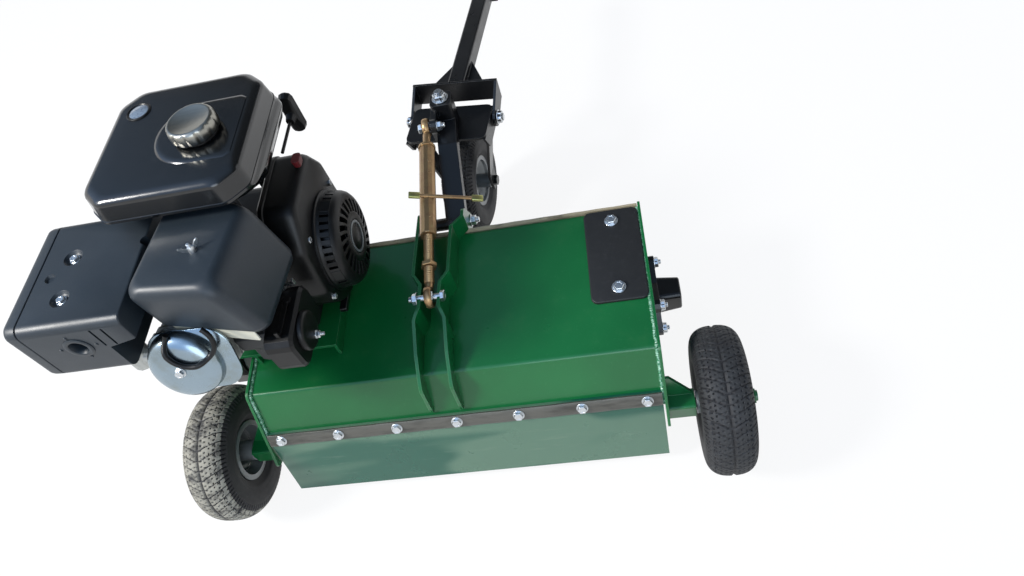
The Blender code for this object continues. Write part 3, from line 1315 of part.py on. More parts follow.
def make_turnbuckle(low_parent, tube_parent, high_parent):
    """Two rod ends in a tube; a bar through the tube turns it, and a nut locks it."""
    bore = LINK_BOLT + LINK_PLAY
    half = EYE_WIDTH / 2

    low = rod("x", (EYE_LOW_Y, EYE_LOW_Z), EYE_RADIUS, HITCH_X - half, HITCH_X + half, 12)
    stem = link_round([(EYE_RADIUS * 0.7, ROD_RADIUS * 0.9), (0.030, ROD_RADIUS), (0.200, ROD_RADIUS)], 10)
    nut = link_round([(LOCK_NUT, LOCK_NUT_RADIUS), (LOCK_NUT + 0.009, LOCK_NUT_RADIUS)], 6)
    join(low, stem, nut)
    cut(low, rod("x", (EYE_LOW_Y, EYE_LOW_Z), bore, HITCH_X - 0.02, HITCH_X + 0.02, 12))
    place_link(low, "rod_end_lower", 0.0, low_parent)

    top = in_link(LINK_LENGTH, 0.0)
    high = rod("x", top, EYE_RADIUS, HITCH_X - half, HITCH_X + half, 12)
    stem = link_round([(LINK_LENGTH - EYE_RADIUS * 0.7, ROD_RADIUS * 0.9), (LINK_LENGTH - 0.026, ROD_RADIUS),
                       (LINK_LENGTH - 0.170, ROD_RADIUS)], 10)
    join(high, stem)
    cut(high, rod("x", top, bore, HITCH_X - 0.02, HITCH_X + 0.02, 12))
    place_link(high, "rod_end_upper", LINK_LENGTH, high_parent)

    tube = link_round([
        (TUBE_START, TUBE_RADIUS - 0.001), (TUBE_START + 0.002, TUBE_RADIUS), (TUBE_END - 0.006, TUBE_RADIUS),
        (TUBE_END - 0.006, TUBE_RADIUS + 0.0015), (TUBE_END, TUBE_RADIUS + 0.0015)])
    y, z = in_link(HANDLE_PLACE, TUBE_RADIUS - 0.0010)
    left = HITCH_X + HANDLE_SHIFT - HANDLE_LENGTH / 2
    right = HITCH_X + HANDLE_SHIFT + HANDLE_LENGTH / 2
    bar = rod("x", (y, z), HANDLE_RADIUS, left + 0.008, right - 0.008, 8)
    ends = []
    for x in (left, right - 0.022):
        ends.append(block([
            (x, y - 0.0070, y + 0.0070, z - 0.0030, z + 0.0030, 0.0025),
            (x + 0.022, y - 0.0070, y + 0.0070, z - 0.0030, z + 0.0030, 0.0025)], "x", 1))
    join(tube, bar, *ends)
    cut(tube, link_round([(TUBE_START - 0.01, TUBE_BORE), (TUBE_END + 0.01, TUBE_BORE)], 12))
    line = Vector((0.0, *in_link(LINK_LENGTH, 0.0))) - Vector((0.0, EYE_LOW_Y, EYE_LOW_Z))
    tilt = Matrix.Translation(Vector((HITCH_X, *in_link(HANDLE_PLACE, 0.0))))
    tube.data.transform(tilt @ Matrix.Rotation(-HANDLE_TILT, 4, -line) @ tilt.inverted())
    place_link(tube, "turnbuckle_tube", HANDLE_PLACE, tube_parent)


def bolt(name, y, z, left, right, parent, from_right=False):
    """A bolt across the machine: its head left of one place, a washer and a nut right of another."""
    head = 0.0105
    shank = rod("x", (y, z), LINK_BOLT, left - 0.005, right + 0.018, 10)
    cap = hexagon("x", (y, z), head, left - 0.0075, left)
    washer = rod("x", (y, z), head * 1.12, right, right + 0.002, 10)
    nut = hexagon("x", (y, z), head, right + 0.0015, right + 0.0115)
    join(shank, cap, nut, washer)
    if from_right:
        turned(shank, "Z", math.pi, ((left + right) / 2, y, z))
    finish(shank, name, "zinc", parent, ((left + right) / 2, y, z))


def make_arm(parent):
    """The front arm: a sleeve on the deck's bolt, a flat bar, the steering head and a lug."""
    low_x = HITCH_X - BRACKET_MID_HALF + 0.0008
    high_x = HITCH_X + BRACKET_FRONT_HALF - 0.0008
    sleeve = rod("x", (ARM_PIVOT_Y, ARM_PIVOT_Z), 0.013, low_x, high_x, 12)
    half = ARM_WIDTH / 2
    bar_low = CROWN_TOP + 0.0028
    bar_end = STEER_Y + HEAD_RADIUS * 0.2
    bar = prism(
        [(ARM_PIVOT_Y + 0.003, ARM_PIVOT_Z - 0.011), (STEER_Y - 0.108, bar_low), (bar_end, bar_low),
         (bar_end, bar_low + ARM_HEIGHT), (STEER_Y - 0.100, bar_low + ARM_HEIGHT),
         (ARM_PIVOT_Y - 0.001, ARM_PIVOT_Z + 0.0125)],
        "x", STEER_X - half, STEER_X + half)
    for vert in bar.data.vertices:
        vert.co.x += (ARM_FOOT_X - STEER_X) * (STEER_Y - vert.co.y) / (STEER_Y - ARM_PIVOT_Y)
    head = block([
        (CROWN_TOP + 0.0008, STEER_X - HEAD_RADIUS, STEER_X + HEAD_RADIUS, STEER_Y - HEAD_RADIUS, STEER_Y + HEAD_RADIUS,
         0.008),
        (HEAD_TOP, STEER_X - HEAD_RADIUS, STEER_X + HEAD_RADIUS, STEER_Y - HEAD_RADIUS, STEER_Y + HEAD_RADIUS, 0.008),
    ])
    lug = prism(
        arc((EYE_HIGH_Y, EYE_HIGH_Z), 0.016, math.radians(60.0), math.radians(225.0), 6)
        + [(EYE_HIGH_Y - 0.006, bar_low + 0.003), (STEER_Y, bar_low + 0.003), (STEER_Y, EYE_HIGH_Z + 0.014)],
        "x", LUG_LEFT, LUG_LEFT + LUG_WIDTH)
    join(sleeve, bar, head, lug)
    cut(
        sleeve,
        rod("x", (ARM_PIVOT_Y, ARM_PIVOT_Z), LINK_BOLT + RUN_GAP, HITCH_X - 0.1, HITCH_X + 0.1, 12),
        rod("z", (STEER_X, STEER_Y), KINGPIN + RUN_GAP / 2, CROWN_TOP - 0.05, HEAD_TOP + 0.05, 16),
        rod("x", (EYE_HIGH_Y, EYE_HIGH_Z), LINK_BOLT + GAP, HITCH_X - 0.1, HITCH_X + 0.1, 12),
    )
    finish(sleeve, "front_arm", "black_paint", parent, (ARM_FOOT_X, ARM_PIVOT_Y, ARM_PIVOT_Z))


def make_fork(parent):
    """Everything here is built straight ahead, about the kingpin; the steering empty turns it."""
    low = CROWN_TOP - FORK_PLATE
    rear = -CROWN_DEPTH / 2
    front = CROWN_DEPTH / 2
    crown = block([
        (low, -CROWN_HALF, CROWN_HALF, rear, front, 0.014), (CROWN_TOP, -CROWN_HALF, CROWN_HALF, rear, front, 0.014)])
    parts = [rod("z", (0.0, 0.0), KINGPIN, low + 0.001, HEAD_TOP + 0.020, 12)]
    parts.append(hexagon("z", (0.0, 0.0), KINGPIN_NUT, HEAD_TOP + 0.0008, HEAD_TOP + 0.013))
    for side in (-1, 1):
        outer = side * CROWN_HALF
        inner = side * (CROWN_HALF - FORK_PLATE)
        skirt = prism(rounded([(rear + 0.02, low - FORK_SKIRT), (front - 0.02, low - FORK_SKIRT), (front, low + 0.001),
                               (rear, low + 0.001)], [0.012, 0.012, 0, 0], 3), "x", *sorted((inner, outer)))
        parts.append(skirt)
        foot = side * FORK_FOOT_HALF
        top_z = low - FORK_SKIRT * 0.5
        rings = []
        for x, z, half in ((inner + side * 0.004, top_z, 0.026), (foot + side * FORK_PLATE, CASTOR_RADIUS + 0.030, 0.020),
                           (foot + side * FORK_PLATE, CASTOR_RADIUS - 0.018, 0.014)):
            rings.append([Vector((x - side * FORK_PLATE, -half, z)), Vector((x - side * FORK_PLATE, half, z)),
                          Vector((x, half, z)), Vector((x, -half, z))])
        parts.append(loft(rings))
        head_in = CROWN_HALF + YOKE_SIDE_GAP * 2 + YOKE_PLATE
        hinge = (YOKE_HINGE, YOKE_Z)
        parts.append(rod("x", hinge, YOKE_BOLT, *sorted((side * (CROWN_HALF - 0.010), side * (head_in + 0.013))), 12))
        parts.append(hexagon("x", hinge, 0.0135, *sorted((side * head_in, side * (head_in + 0.009)))))
        nut_in = FORK_FOOT_HALF + FORK_PLATE - 0.001
        parts.append(hexagon("x", (0.0, CASTOR_RADIUS), 0.0125, *sorted((side * nut_in, side * (nut_in + 0.009)))))
    parts.append(rod("x", (0.0, CASTOR_RADIUS), CASTOR_AXLE, -FORK_FOOT_HALF - 0.002, FORK_FOOT_HALF + 0.002, 12))
    join(crown, *parts)
    finish(crown, "steering_fork", "black_paint", parent, (0.0, 0.0, 0.0))


def make_castor(parent):
    hub_half = FORK_FOOT_HALF - 0.002
    make_wheel("castor_", "", parent, 0.0, 0.0, CASTOR_RADIUS, CASTOR_RADIUS, CASTOR_WIDTH,
               CASTOR_RIM, CASTOR_RIM - 0.009, CASTOR_AXLE + RUN_GAP / 2, 0.017, hub_half, 5)


def make_drawbar(parent):
    """A yoke on the fork's two bolts, a square tube with gussets, and a drilled tongue."""
    inner = CROWN_HALF + YOKE_SIDE_GAP
    outer = inner + YOKE_PLATE
    face = YOKE_HINGE + YOKE_REACH
    bar = box((-outer, face - YOKE_PLATE, YOKE_BAR_LOW), (outer, face, YOKE_BAR_HIGH))
    parts = []
    for side in (-1, 1):
        outline = arc((YOKE_HINGE, YOKE_Z), 0.021, math.pi / 2, 1.5 * math.pi, 6)
        outline += [(face - 0.003, YOKE_BAR_LOW + 0.001), (face - 0.003, YOKE_BAR_HIGH - 0.001)]
        parts.append(prism(outline, "x", *sorted((side * inner, side * outer))))
    half = DRAWBAR_TUBE / 2
    tube = block([
        (face - 0.002, -half, half, DRAWBAR_Z - half, DRAWBAR_Z + half, 0.004),
        (DRAWBAR_END, -half, half, DRAWBAR_Z - half, DRAWBAR_Z + half, 0.004)], "y", 2)
    parts.append(tube)
    for side in (-1, 1):
        outline = [(side * (half - 0.001), face - 0.001), (side * (half + 0.052), face - 0.001),
                   (side * (half - 0.001), face + 0.098)]
        parts.append(prism(outline, "z", DRAWBAR_Z - 0.004, DRAWBAR_Z + 0.004))
    tongue = [(-TONGUE_WIDTH / 2, DRAWBAR_END - 0.070), (TONGUE_WIDTH / 2, DRAWBAR_END - 0.070)]
    tip = DRAWBAR_END + TONGUE_REACH - TONGUE_WIDTH / 2
    tongue += arc((0.0, tip), TONGUE_WIDTH / 2, 0.0, math.pi, 8)
    plate_low = DRAWBAR_Z - half - TONGUE_PLATE + 0.001
    parts.append(prism(tongue, "z", plate_low, plate_low + TONGUE_PLATE))
    join(bar, *parts)
    holes = [rod("x", (YOKE_HINGE, YOKE_Z), YOKE_BOLT + RUN_GAP, -0.2, 0.2, 18)]
    holes.append(rod("z", (0.0, tip), TONGUE_HOLE, plate_low - 0.02, plate_low + 0.04, 14))
    cut(bar, *holes)
    finish(bar, "drawbar", "black_paint", parent, (0.0, YOKE_HINGE, YOKE_Z))


def centre_on_footprint(machine):
    """Moves the machine so that the origin lies under the middle of its whole box."""
    bpy.context.view_layer.update()
    xs = []
    ys = []
    for thing in bpy.data.objects:
        if thing.type == "MESH":
            for vert in thing.data.vertices:
                place = thing.matrix_world @ vert.co
                xs.append(place.x)
                ys.append(place.y)
    machine.location = (-(min(xs) + max(xs)) / 2, -(min(ys) + max(ys)) / 2, 0.0)


def build():
    clear_scene()
    machine = empty("machine", (0.0, 0.0, 0.0))
    make_deck_shell(machine)
    make_side_plates(machine)
    make_curtain(machine)
    make_rear_flap(machine)
    make_top_pad(machine)
    make_engine_mount(machine)
    make_brackets(machine)
    make_axles(machine)
    make_rear_wheels(machine)
    make_bearings(machine)
    make_rotor(machine)
    for i in range(FLAIL_COUNT):
        make_flail(i, machine)
    make_drive(machine, machine, machine, machine)
    make_belt_guard(machine)
    make_engine_body(machine)
    make_blower(machine)
    make_starter_grip(machine)
    make_tank(machine, machine)
    make_air_cleaner(machine, machine)
    make_muffler(machine)
    make_controls(machine, machine, machine, machine)
    make_turnbuckle(machine, machine, machine)
    reach = BRACKET_EYE_HALF + BRACKET_PLATE
    bolt("lower_bolt", EYE_LOW_Y, EYE_LOW_Z, HITCH_X - reach - GAP, HITCH_X + reach + GAP, machine, True)
    arm_left = HITCH_X - BRACKET_MID_HALF - BRACKET_PLATE
    arm_right = HITCH_X + BRACKET_FRONT_HALF + BRACKET_PLATE
    bolt("arm_bolt", ARM_PIVOT_Y, ARM_PIVOT_Z, arm_left - GAP, arm_right + GAP, machine)
    make_arm(machine)
    eye_left = EYE_HIGH_X - EYE_WIDTH / 2 - 0.0020
    bolt("upper_bolt", EYE_HIGH_Y, EYE_HIGH_Z, eye_left, LUG_LEFT + LUG_WIDTH + GAP, machine)
    steering = empty("steering", (STEER_X, STEER_Y, 0.0), machine, STEER_REST)
    make_fork(steering)
    make_castor(steering)
    make_drawbar(steering)
    centre_on_footprint(machine)


build()
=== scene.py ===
# Scene of the tow-behind flail mower: materials, fine forms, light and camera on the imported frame.
# Places are written in the machine's own frame, as in the CAD source: x = 0 in the middle of the
# hood, y = 0 over the rear wheels' axis, z = 0 on the ground, in metres.

from math import atan2, copysign, cos, hypot, pi, radians, sin, tan, tau

import bmesh
import bpy
from mathutils import Matrix, Vector, noise


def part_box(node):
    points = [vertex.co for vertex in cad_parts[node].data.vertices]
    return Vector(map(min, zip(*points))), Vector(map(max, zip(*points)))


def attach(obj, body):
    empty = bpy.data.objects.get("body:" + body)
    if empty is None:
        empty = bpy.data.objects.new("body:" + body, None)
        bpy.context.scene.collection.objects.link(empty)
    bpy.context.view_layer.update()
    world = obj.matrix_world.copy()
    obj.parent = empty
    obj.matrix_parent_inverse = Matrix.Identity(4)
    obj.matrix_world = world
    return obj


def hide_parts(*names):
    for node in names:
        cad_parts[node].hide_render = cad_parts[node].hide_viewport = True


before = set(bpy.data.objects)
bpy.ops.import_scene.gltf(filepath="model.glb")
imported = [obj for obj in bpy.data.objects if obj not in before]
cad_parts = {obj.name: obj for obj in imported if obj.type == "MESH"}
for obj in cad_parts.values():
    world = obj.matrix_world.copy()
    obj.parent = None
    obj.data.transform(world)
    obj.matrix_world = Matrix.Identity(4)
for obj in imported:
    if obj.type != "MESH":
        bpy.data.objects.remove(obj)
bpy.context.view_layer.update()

# The weld ripples come out the same in every run
noise.seed_set(7)

# The machine's own origin in the frame
HOOD_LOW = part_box("side_plate_left")[0]
HOOD_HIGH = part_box("side_plate_right")[1]
WHEEL_LOW, WHEEL_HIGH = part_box("tyre_left")
ORIGIN = Vector(((HOOD_LOW[0] + HOOD_HIGH[0]) / 2, (WHEEL_LOW[1] + WHEEL_HIGH[1]) / 2, 0.0))

# Camera, fitted to the photograph
CAMERA_PLACE = (0.3619, -0.6433, 1.4041)
CAMERA_TURN = (36.360, 12.296, -0.564)
CAMERA_LENS = 26.343

# Hood
HOOD_HALF = 0.385
SIDE_PLATE = 0.005
RIDGE = (0.0345, 0.2852)
TOP_SLOPE = radians(4.0)
TOP_LENGTH = 0.308
TOP_NORMAL = (0.0, -sin(TOP_SLOPE), cos(TOP_SLOPE))
REAR_SLOPE = radians(66.0)
REAR_LENGTH = 0.1175
REAR_NORMAL = (0.0, -sin(REAR_SLOPE), cos(REAR_SLOPE))
STRIP_HEIGHT = 0.026
STRIP_LIFT = 0.0056
STRIP_BOLTS = 7
PAD_WIDTH = 0.104
PAD_LENGTH = 0.205
PAD_BOLT_REACH = 0.075

# Wheels
TRACK_HALF = 0.4815
REAR_RADIUS = 0.135
FRONT_RADIUS = 0.130
TYRE_WALL_START = radians(-25.0)
TYRE_WALL_SWEEP = radians(230.0)
TYRE_SQUARE = 2.6
TYRE_AROUND = 600
TYRE_ACROSS = 84
TREAD_SLANT = 0.16
BEAD_SHARE = 0.36
RIM_WALL = 0.0022
STEER_TURN = radians(-9.0)
STEER_PLACE = (-0.007, 0.663)
REAR_WHEEL = {"turn": 0.0, "width": 0.090, "bead": 0.0508, "flange": 0.060}
FRONT_WHEEL = {"turn": STEER_TURN, "width": 0.078, "bead": 0.052, "flange": 0.061}

# Rotor's flange bearings
BEARING = (0.226, 0.165)
BEARING_BOLTS = (0.052, 0.040)

# Engine
CRANK = (0.250, 0.442)
CYLINDER_X = -0.350
CYLINDER_TILT = radians(20.0)
CYLINDER_DROP = 0.027
COVER_REACH = 0.2803
COVER_SHIFT = 0.012
BLOWER_TOP = 0.595
BLOWER_FACE = -0.173
BLOWER_RADIUS = 0.118
RECOIL_RADIUS = 0.090
GRIP = (-0.204, 0.612)
GUIDE_HALF = 0.017
CONTROL_FACE = -0.174
CONTROL_PLACE = (0.031, 0.474)
CONTROL_SCREW = (0.034, 0.4552)

# Tank
TANK_SIDES = (-0.450, -0.185)
TANK_ENDS = (0.120, 0.386)
TANK_BOTTOM = 0.645
TANK_SEAM = 0.695
TANK_TOP = 0.735
CAP_PLACE = (-0.270, 0.240)
CAP_RADIUS = 0.0405
BOSS_MIDDLE = (-0.275, 0.247)
BOSS_REACH = 0.070
GAUGE_PLACE = (-0.400, 0.324)

# Air cleaner: its right side slopes out to the foot, and it is turned a little
AIR_LEFT = -0.362
AIR_RIGHT = -0.212
AIR_FOOT = -0.178
AIR_REAR = -0.016
AIR_FRONT = 0.155
AIR_BOTTOM = 0.576
AIR_TOP = 0.672
AIR_SLANT = 0.036
AIR_YAW = radians(-6.5)
AIR_NECK = (-0.2545, 0.031, 0.545)

# Muffler guard
GUARD_SOFT = 0.016
GUARD_OUTLET = (-0.4802, 0.597)
GUARD_SLOTS = (-0.4360, -0.4170)
GUARD_SLOT_HEIGHT = 0.614
GUARD_BOLTS = ((-0.5029, 0.1036), (-0.4955, 0.0226))
GUARD_DIMPLE = (-0.5293, 0.0663)
GUARD_NOTCH = 0.1176
GUARD_CUT = -0.4325

# Linkage: the turnbuckle's two eyes, its bar, and the bolts as body, node, y, z, head and nut
LINK_LOW = Vector((-0.0135, 0.156, 0.352))
LINK_HIGH = Vector((-0.042, 0.605, 0.365))
LINK_LENGTH = (LINK_HIGH - LINK_LOW).length
LINK_LINE = (LINK_HIGH - LINK_LOW).normalized()
LINK_ACROSS = Vector((LINK_LINE[1], -LINK_LINE[0], 0.0)).normalized()
BAR_PLACE = 0.236
BAR_SIDE = 0.074
BAR_SHIFT = 0.035
BAR_RISE = 0.0155
BAR_TILT = radians(21.0)
HITCH_BOLTS = {
    "eye_bolt_low": ("deck", "lower_bolt", 0.156, 0.352, 0.0083, -0.0353),
    "eye_bolt_high": ("front_arm", "upper_bolt", 0.605, 0.365, -0.0525, -0.0182),
    "arm_pivot_bolt": ("deck", "arm_bolt", 0.380, 0.296, -0.0503, 0.0448),
}
KINGPIN_TOP = 0.3909
YOKE_BOLT = (0.1036, 0.036, 0.296)
YOKE_FACE = 0.107

# Stage
FLOOR_REACH = 7.0
FLOOR_GLOW = 0.90


# Geometry: a shape is a list of skins, each with its rings of points, and shapes can be added up
def own_box(node):
    """A node's box in the machine's frame."""
    return [Vector(corner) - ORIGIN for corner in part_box(node)]


def along(axis):
    """A frame whose local z is that world axis, for outlines in the other two in X, Y, Z order."""
    if axis == "x":
        return Matrix(((0, 0, 1, 0), (1, 0, 0, 0), (0, 1, 0, 0), (0, 0, 0, 1)))
    return Matrix(((1, 0, 0, 0), (0, 0, 1, 0), (0, 1, 0, 0), (0, 0, 0, 1)))


def at(x, y, z):
    """A frame that is only moved to a place."""
    return Matrix.Translation(Vector((x, y, z)))


def facing(place, direction):
    """A frame at a place with its local z along a direction."""
    turn = Vector((0, 0, 1)).rotation_difference(Vector(direction).normalized())
    return at(*place) @ turn.to_matrix().to_4x4()


def loft(rings, closed=False, caps=True):
    return [(rings, closed, caps)]


def lathe(profile, place, sides=48, closed=False, caps=True):
    """Turns (along, radius) pairs about a frame's z."""
    turns = [(cos(tau * i / sides), sin(tau * i / sides)) for i in range(sides)]
    rings = [[place @ Vector((radius * c, radius * s, reach)) for c, s in turns] for reach, radius in profile]
    return loft(rings, closed, caps)


def prism(outline, low, high, place):
    return loft([[place @ Vector((*point, level)) for point in outline] for level in (low, high)])


def arc(centre, radius, start, end, steps):
    turns = [start + (end - start) * i / steps for i in range(steps + 1)]
    return [(centre[0] + radius * cos(turn), centre[1] + radius * sin(turn)) for turn in turns]


def rounded(points, radius, steps=6):
    """Rounds every corner of a closed outline."""
    out = []
    for i, point in enumerate(points):
        here = Vector(point)
        before = Vector(points[i - 1]) - here
        after = Vector(points[(i + 1) % len(points)]) - here
        half = before.angle(after) / 2.0
        reach = min(radius / tan(half), before.length * 0.49, after.length * 0.49)
        inward = (before.normalized() + after.normalized()).normalized()
        middle = here + inward * (reach * tan(half) / sin(half))
        first = here + before.normalized() * reach - middle
        last = here + after.normalized() * reach - middle
        sweep = atan2(first.cross(last), first.dot(last))
        for k in range(steps + 1):
            out.append(tuple(middle + Matrix.Rotation(sweep * k / steps, 2) @ first))
    return out


def rect(left, right, low, high, inset=0.0):
    left, right, low, high = left + inset, right - inset, low + inset, high - inset
    return [(left, low), (right, low), (right, high), (left, high)]


def cut_rect(left, right, low, high, chamfer):
    return [
        (left + chamfer, low), (right - chamfer, low), (right, low + chamfer), (right, high - chamfer),
        (right - chamfer, high), (left + chamfer, high), (left, high - chamfer), (left, low + chamfer),
    ]


def carried(half, steps, section):
    """Carries a section from left to right; section gives its (y, z) points at a step."""
    rings = []
    for i in range(steps + 1):
        x = -half + 2 * half * i / steps
        rings.append([Vector((x, *point)) for point in section(i)])
    return loft(rings)


def hose(points, radius, sides=12):
    """A round tube along points. The radius may be a function of the point's number."""
    spots = [Vector(point) for point in points]
    turns = [tau * k / sides for k in range(sides)]
    rings = []
    normal = None
    for i, spot in enumerate(spots):
        tangent = (spots[min(i + 1, len(spots) - 1)] - spots[max(i - 1, 0)]).normalized()
        if normal is None:
            normal = tangent.orthogonal().normalized()
        normal = (normal - tangent * normal.dot(tangent)).normalized()
        side = tangent.cross(normal)
        size = radius(i) if callable(radius) else radius
        rings.append([spot + normal * size * cos(turn) + side * size * sin(turn) for turn in turns])
    return loft(rings)


def weld(start, end, radius):
    """A bead of overlapping ripples between two points."""
    start = Vector(start)
    end = Vector(end)
    count = max(8, int((end - start).length / 0.0045 * 4))
    spots = [start.lerp(end, i / count) for i in range(count + 1)]
    points = [spot + noise.noise_vector(spot * 90.0) * radius * 0.35 for spot in spots]
    return hose(points, lambda i: radius * (0.80 + 0.30 * abs(sin(i * pi / 4))), 8)


def hex_head(place, direction, across, height, washer=True):
    """A chamfered hexagon, on a washer unless that is left out."""
    spot = facing(place, direction)
    shape = []
    base = 0.0
    if washer:
        base = 0.0017
        shape = lathe([(0.0, 0.0005), (0.0, across * 0.66), (0.0004, across * 0.69), (0.0014, across * 0.69),
                       (0.0018, across * 0.66), (0.0018, 0.0005)], spot, 32)
    corner = across / 2 / cos(pi / 6)
    levels = ((0.0, 1.0), (0.80, 1.0), (1.0, 0.88), (1.0, 0.55), (0.93, 0.50), (0.93, 0.01))
    return shape + lathe([(base + height * level, corner * share) for level, share in levels], spot, 6)


def stud(place, direction, radius, length, pitch):
    """A threaded end with a chamfered tip."""
    profile = [(0.0, radius * 0.90)]
    for i in range(int(length / pitch)):
        for share, size in ((0.35, 1.0), (0.5, 1.0), (0.95, 0.87)):
            profile.append((pitch * (i + share), radius * size))
    profile += [(length, radius * 0.78), (length, 0.0003)]
    return lathe(profile, facing(place, direction), 24)


def draft(shape):
    """One bmesh of all the skins of a shape."""
    bm = bmesh.new()
    for rings, closed, caps in shape:
        rows = [[bm.verts.new(point) for point in ring] for ring in rings]
        count = len(rows[0])
        pairs = list(zip(rows, rows[1:]))
        if closed:
            pairs.append((rows[-1], rows[0]))
        for low, high in pairs:
            for i in range(count):
                j = (i + 1) % count
                bm.faces.new((low[i], low[j], high[j], high[i]))
        if caps and not closed:
            bm.faces.new(list(reversed(rows[0])))
            bm.faces.new(rows[-1])
    return bm


def mesh_of(name, bm, clean=True):
    """A bmesh as a mesh, with doubles merged and faces turned outwards if it is to be cleaned."""
    if clean:
        bmesh.ops.remove_doubles(bm, verts=bm.verts, dist=1e-6)
        bmesh.ops.recalc_face_normals(bm, faces=bm.faces)
    mesh = bpy.data.meshes.new(name)
    bm.to_mesh(mesh)
    bm.free()
    return mesh


def add_object(name, data, place):
    made = bpy.data.objects.new(name, data)
    bpy.context.scene.collection.objects.link(made)
    made.location = place
    return made


def piece(name, shape, look, body, smooth=35.0, bevel=0.0, replaces=()):
    """Makes an object of a shape or a bmesh in the machine's frame, rides it on a body and dresses it."""
    mesh = mesh_of(name, draft(shape) if isinstance(shape, list) else shape)
    made = add_object(name, mesh, ORIGIN)
    mesh.materials.append(LOOKS[look])
    mesh.shade_smooth()
    mesh.set_sharp_from_angle(angle=radians(smooth))
    if bevel:
        edge = made.modifiers.new("Rounding", "BEVEL")
        edge.width = bevel
        edge.segments = 2
        edge.limit_method = "ANGLE"
        edge.angle_limit = radians(30.0)
    bpy.context.view_layer.update()
    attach(made, body)
    for node in replaces:
        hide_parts(node)
    return made


def carve(made, shapes):
    """Cuts shapes out of a piece, one by one, and keeps the result in its mesh."""
    cutters = []
    for shape in shapes:
        cutter = add_object("cutter", mesh_of("cutter", draft(shape)), ORIGIN)
        step = made.modifiers.new("Cut", "BOOLEAN")
        step.operation = "DIFFERENCE"
        step.solver = "EXACT"
        step.object = cutter
        cutters.append(cutter)
    bpy.context.view_layer.update()
    seen = made.evaluated_get(bpy.context.evaluated_depsgraph_get())
    solid = bpy.data.meshes.new_from_object(seen)
    made.modifiers.clear()
    made.data = solid
    for cutter in cutters:
        bpy.data.objects.remove(cutter, do_unlink=True)
    made.data.shade_smooth()
    made.data.set_sharp_from_angle(angle=radians(35.0))


# Materials
class Nodes:
    """A node tree with short ways to add nodes, whose inputs are values or other nodes' outputs."""

    def __init__(self, tree):
        self.tree = tree

    def feed(self, node, inputs):
        for key, value in inputs.items():
            if isinstance(value, bpy.types.NodeSocket):
                self.tree.links.new(value, node.inputs[key])
            else:
                node.inputs[key].default_value = value

    def node(self, kind, inputs=None, **settings):
        made = self.tree.nodes.new(kind)
        for key, value in settings.items():
            setattr(made, key, value)
        self.feed(made, inputs or {})
        return made

    def math(self, operation, *values):
        return self.node("ShaderNodeMath", dict(enumerate(values)), operation=operation).outputs["Value"]


class Look(Nodes):
    """A Principled material whose colour, roughness and surface come from its nodes."""

    def __init__(self, name, colour, roughness, metallic=0.0):
        self.material = bpy.data.materials.new("look_" + name)
        self.material.use_nodes = True
        super().__init__(self.material.node_tree)
        self.shader = self.tree.nodes["Principled BSDF"]
        self.colour = (*colour, 1.0)
        self.height = None
        self.set({"Base Color": self.colour, "Roughness": roughness, "Metallic": metallic})
        self.coords = self.node("ShaderNodeTexCoord").outputs["Object"]

    def set(self, inputs):
        self.feed(self.shader, inputs)
        return self

    def noise(self, scale, detail=4.0, roughness=0.55, stretch=None, distortion=0.0):
        vector = self.coords
        if stretch:
            mapping = self.node("ShaderNodeMapping", {"Scale": stretch, "Vector": vector})
            vector = mapping.outputs["Vector"]
        inputs = {"Scale": scale, "Detail": detail, "Roughness": roughness, "Distortion": distortion}
        return self.node("ShaderNodeTexNoise", {**inputs, "Vector": vector}).outputs["Fac"]

    def steps(self, source, low, high):
        """A smooth mask that rises from 0 at low to 1 at high."""
        inputs = {"From Min": low, "From Max": high, "Value": source}
        return self.node("ShaderNodeMapRange", inputs, interpolation_type="SMOOTHSTEP").outputs["Result"]

    def tint(self, mask, colour, amount):
        """Mixes another colour over what is there."""
        inputs = {"Factor": self.math("MULTIPLY", mask, amount), "A": self.colour, "B": (*colour, 1.0)}
        self.colour = self.node("ShaderNodeMix", inputs, data_type="RGBA").outputs["Result"]
        return self.set({"Base Color": self.colour})

    def spots(self, grain, low, high, colour, amount):
        """Mixes another colour in where a noise of that grain is high."""
        return self.tint(self.steps(self.noise(*grain), low, high), colour, amount)

    def rough(self, scale, detail, low, high):
        inputs = {"To Min": low, "To Max": high, "Value": self.noise(scale, detail)}
        return self.set({"Roughness": self.node("ShaderNodeMapRange", inputs).outputs["Result"]})

    def bump(self, scale, detail, strength, distance):
        inputs = {"Strength": strength, "Distance": distance, "Height": self.noise(scale, detail)}
        if self.height:
            inputs["Normal"] = self.height
        self.height = self.node("ShaderNodeBump", inputs).outputs["Normal"]
        return self.set({"Normal": self.height})

    def round_edges(self, radius):
        self.height = self.node("ShaderNodeBevel", {"Radius": radius}, samples=4).outputs["Normal"]
        return self.set({"Normal": self.height})

    def edges(self, radius=0.0015):
        """A mask of the outer edges, where paint wears; on the green paint it carries a painted highlight."""
        soft = self.node("ShaderNodeBevel", {"Radius": radius}, samples=4).outputs["Normal"]
        sharp = self.node("ShaderNodeNewGeometry").outputs["True Normal"]
        dot = self.node("ShaderNodeVectorMath", {0: soft, 1: sharp}, operation="DOT_PRODUCT")
        return self.steps(self.math("SUBTRACT", 1.0, dot.outputs["Value"]), 0.02, 0.20)

    def upward(self):
        """A mask of what faces up, where dust lies."""
        normal = self.node("ShaderNodeNewGeometry").outputs["Normal"]
        return self.steps(self.node("ShaderNodeSeparateXYZ", {"Vector": normal}).outputs["Z"], 0.3, 0.9)

    def coat(self, weight, roughness):
        return self.set({"Coat Weight": weight, "Coat Roughness": roughness})


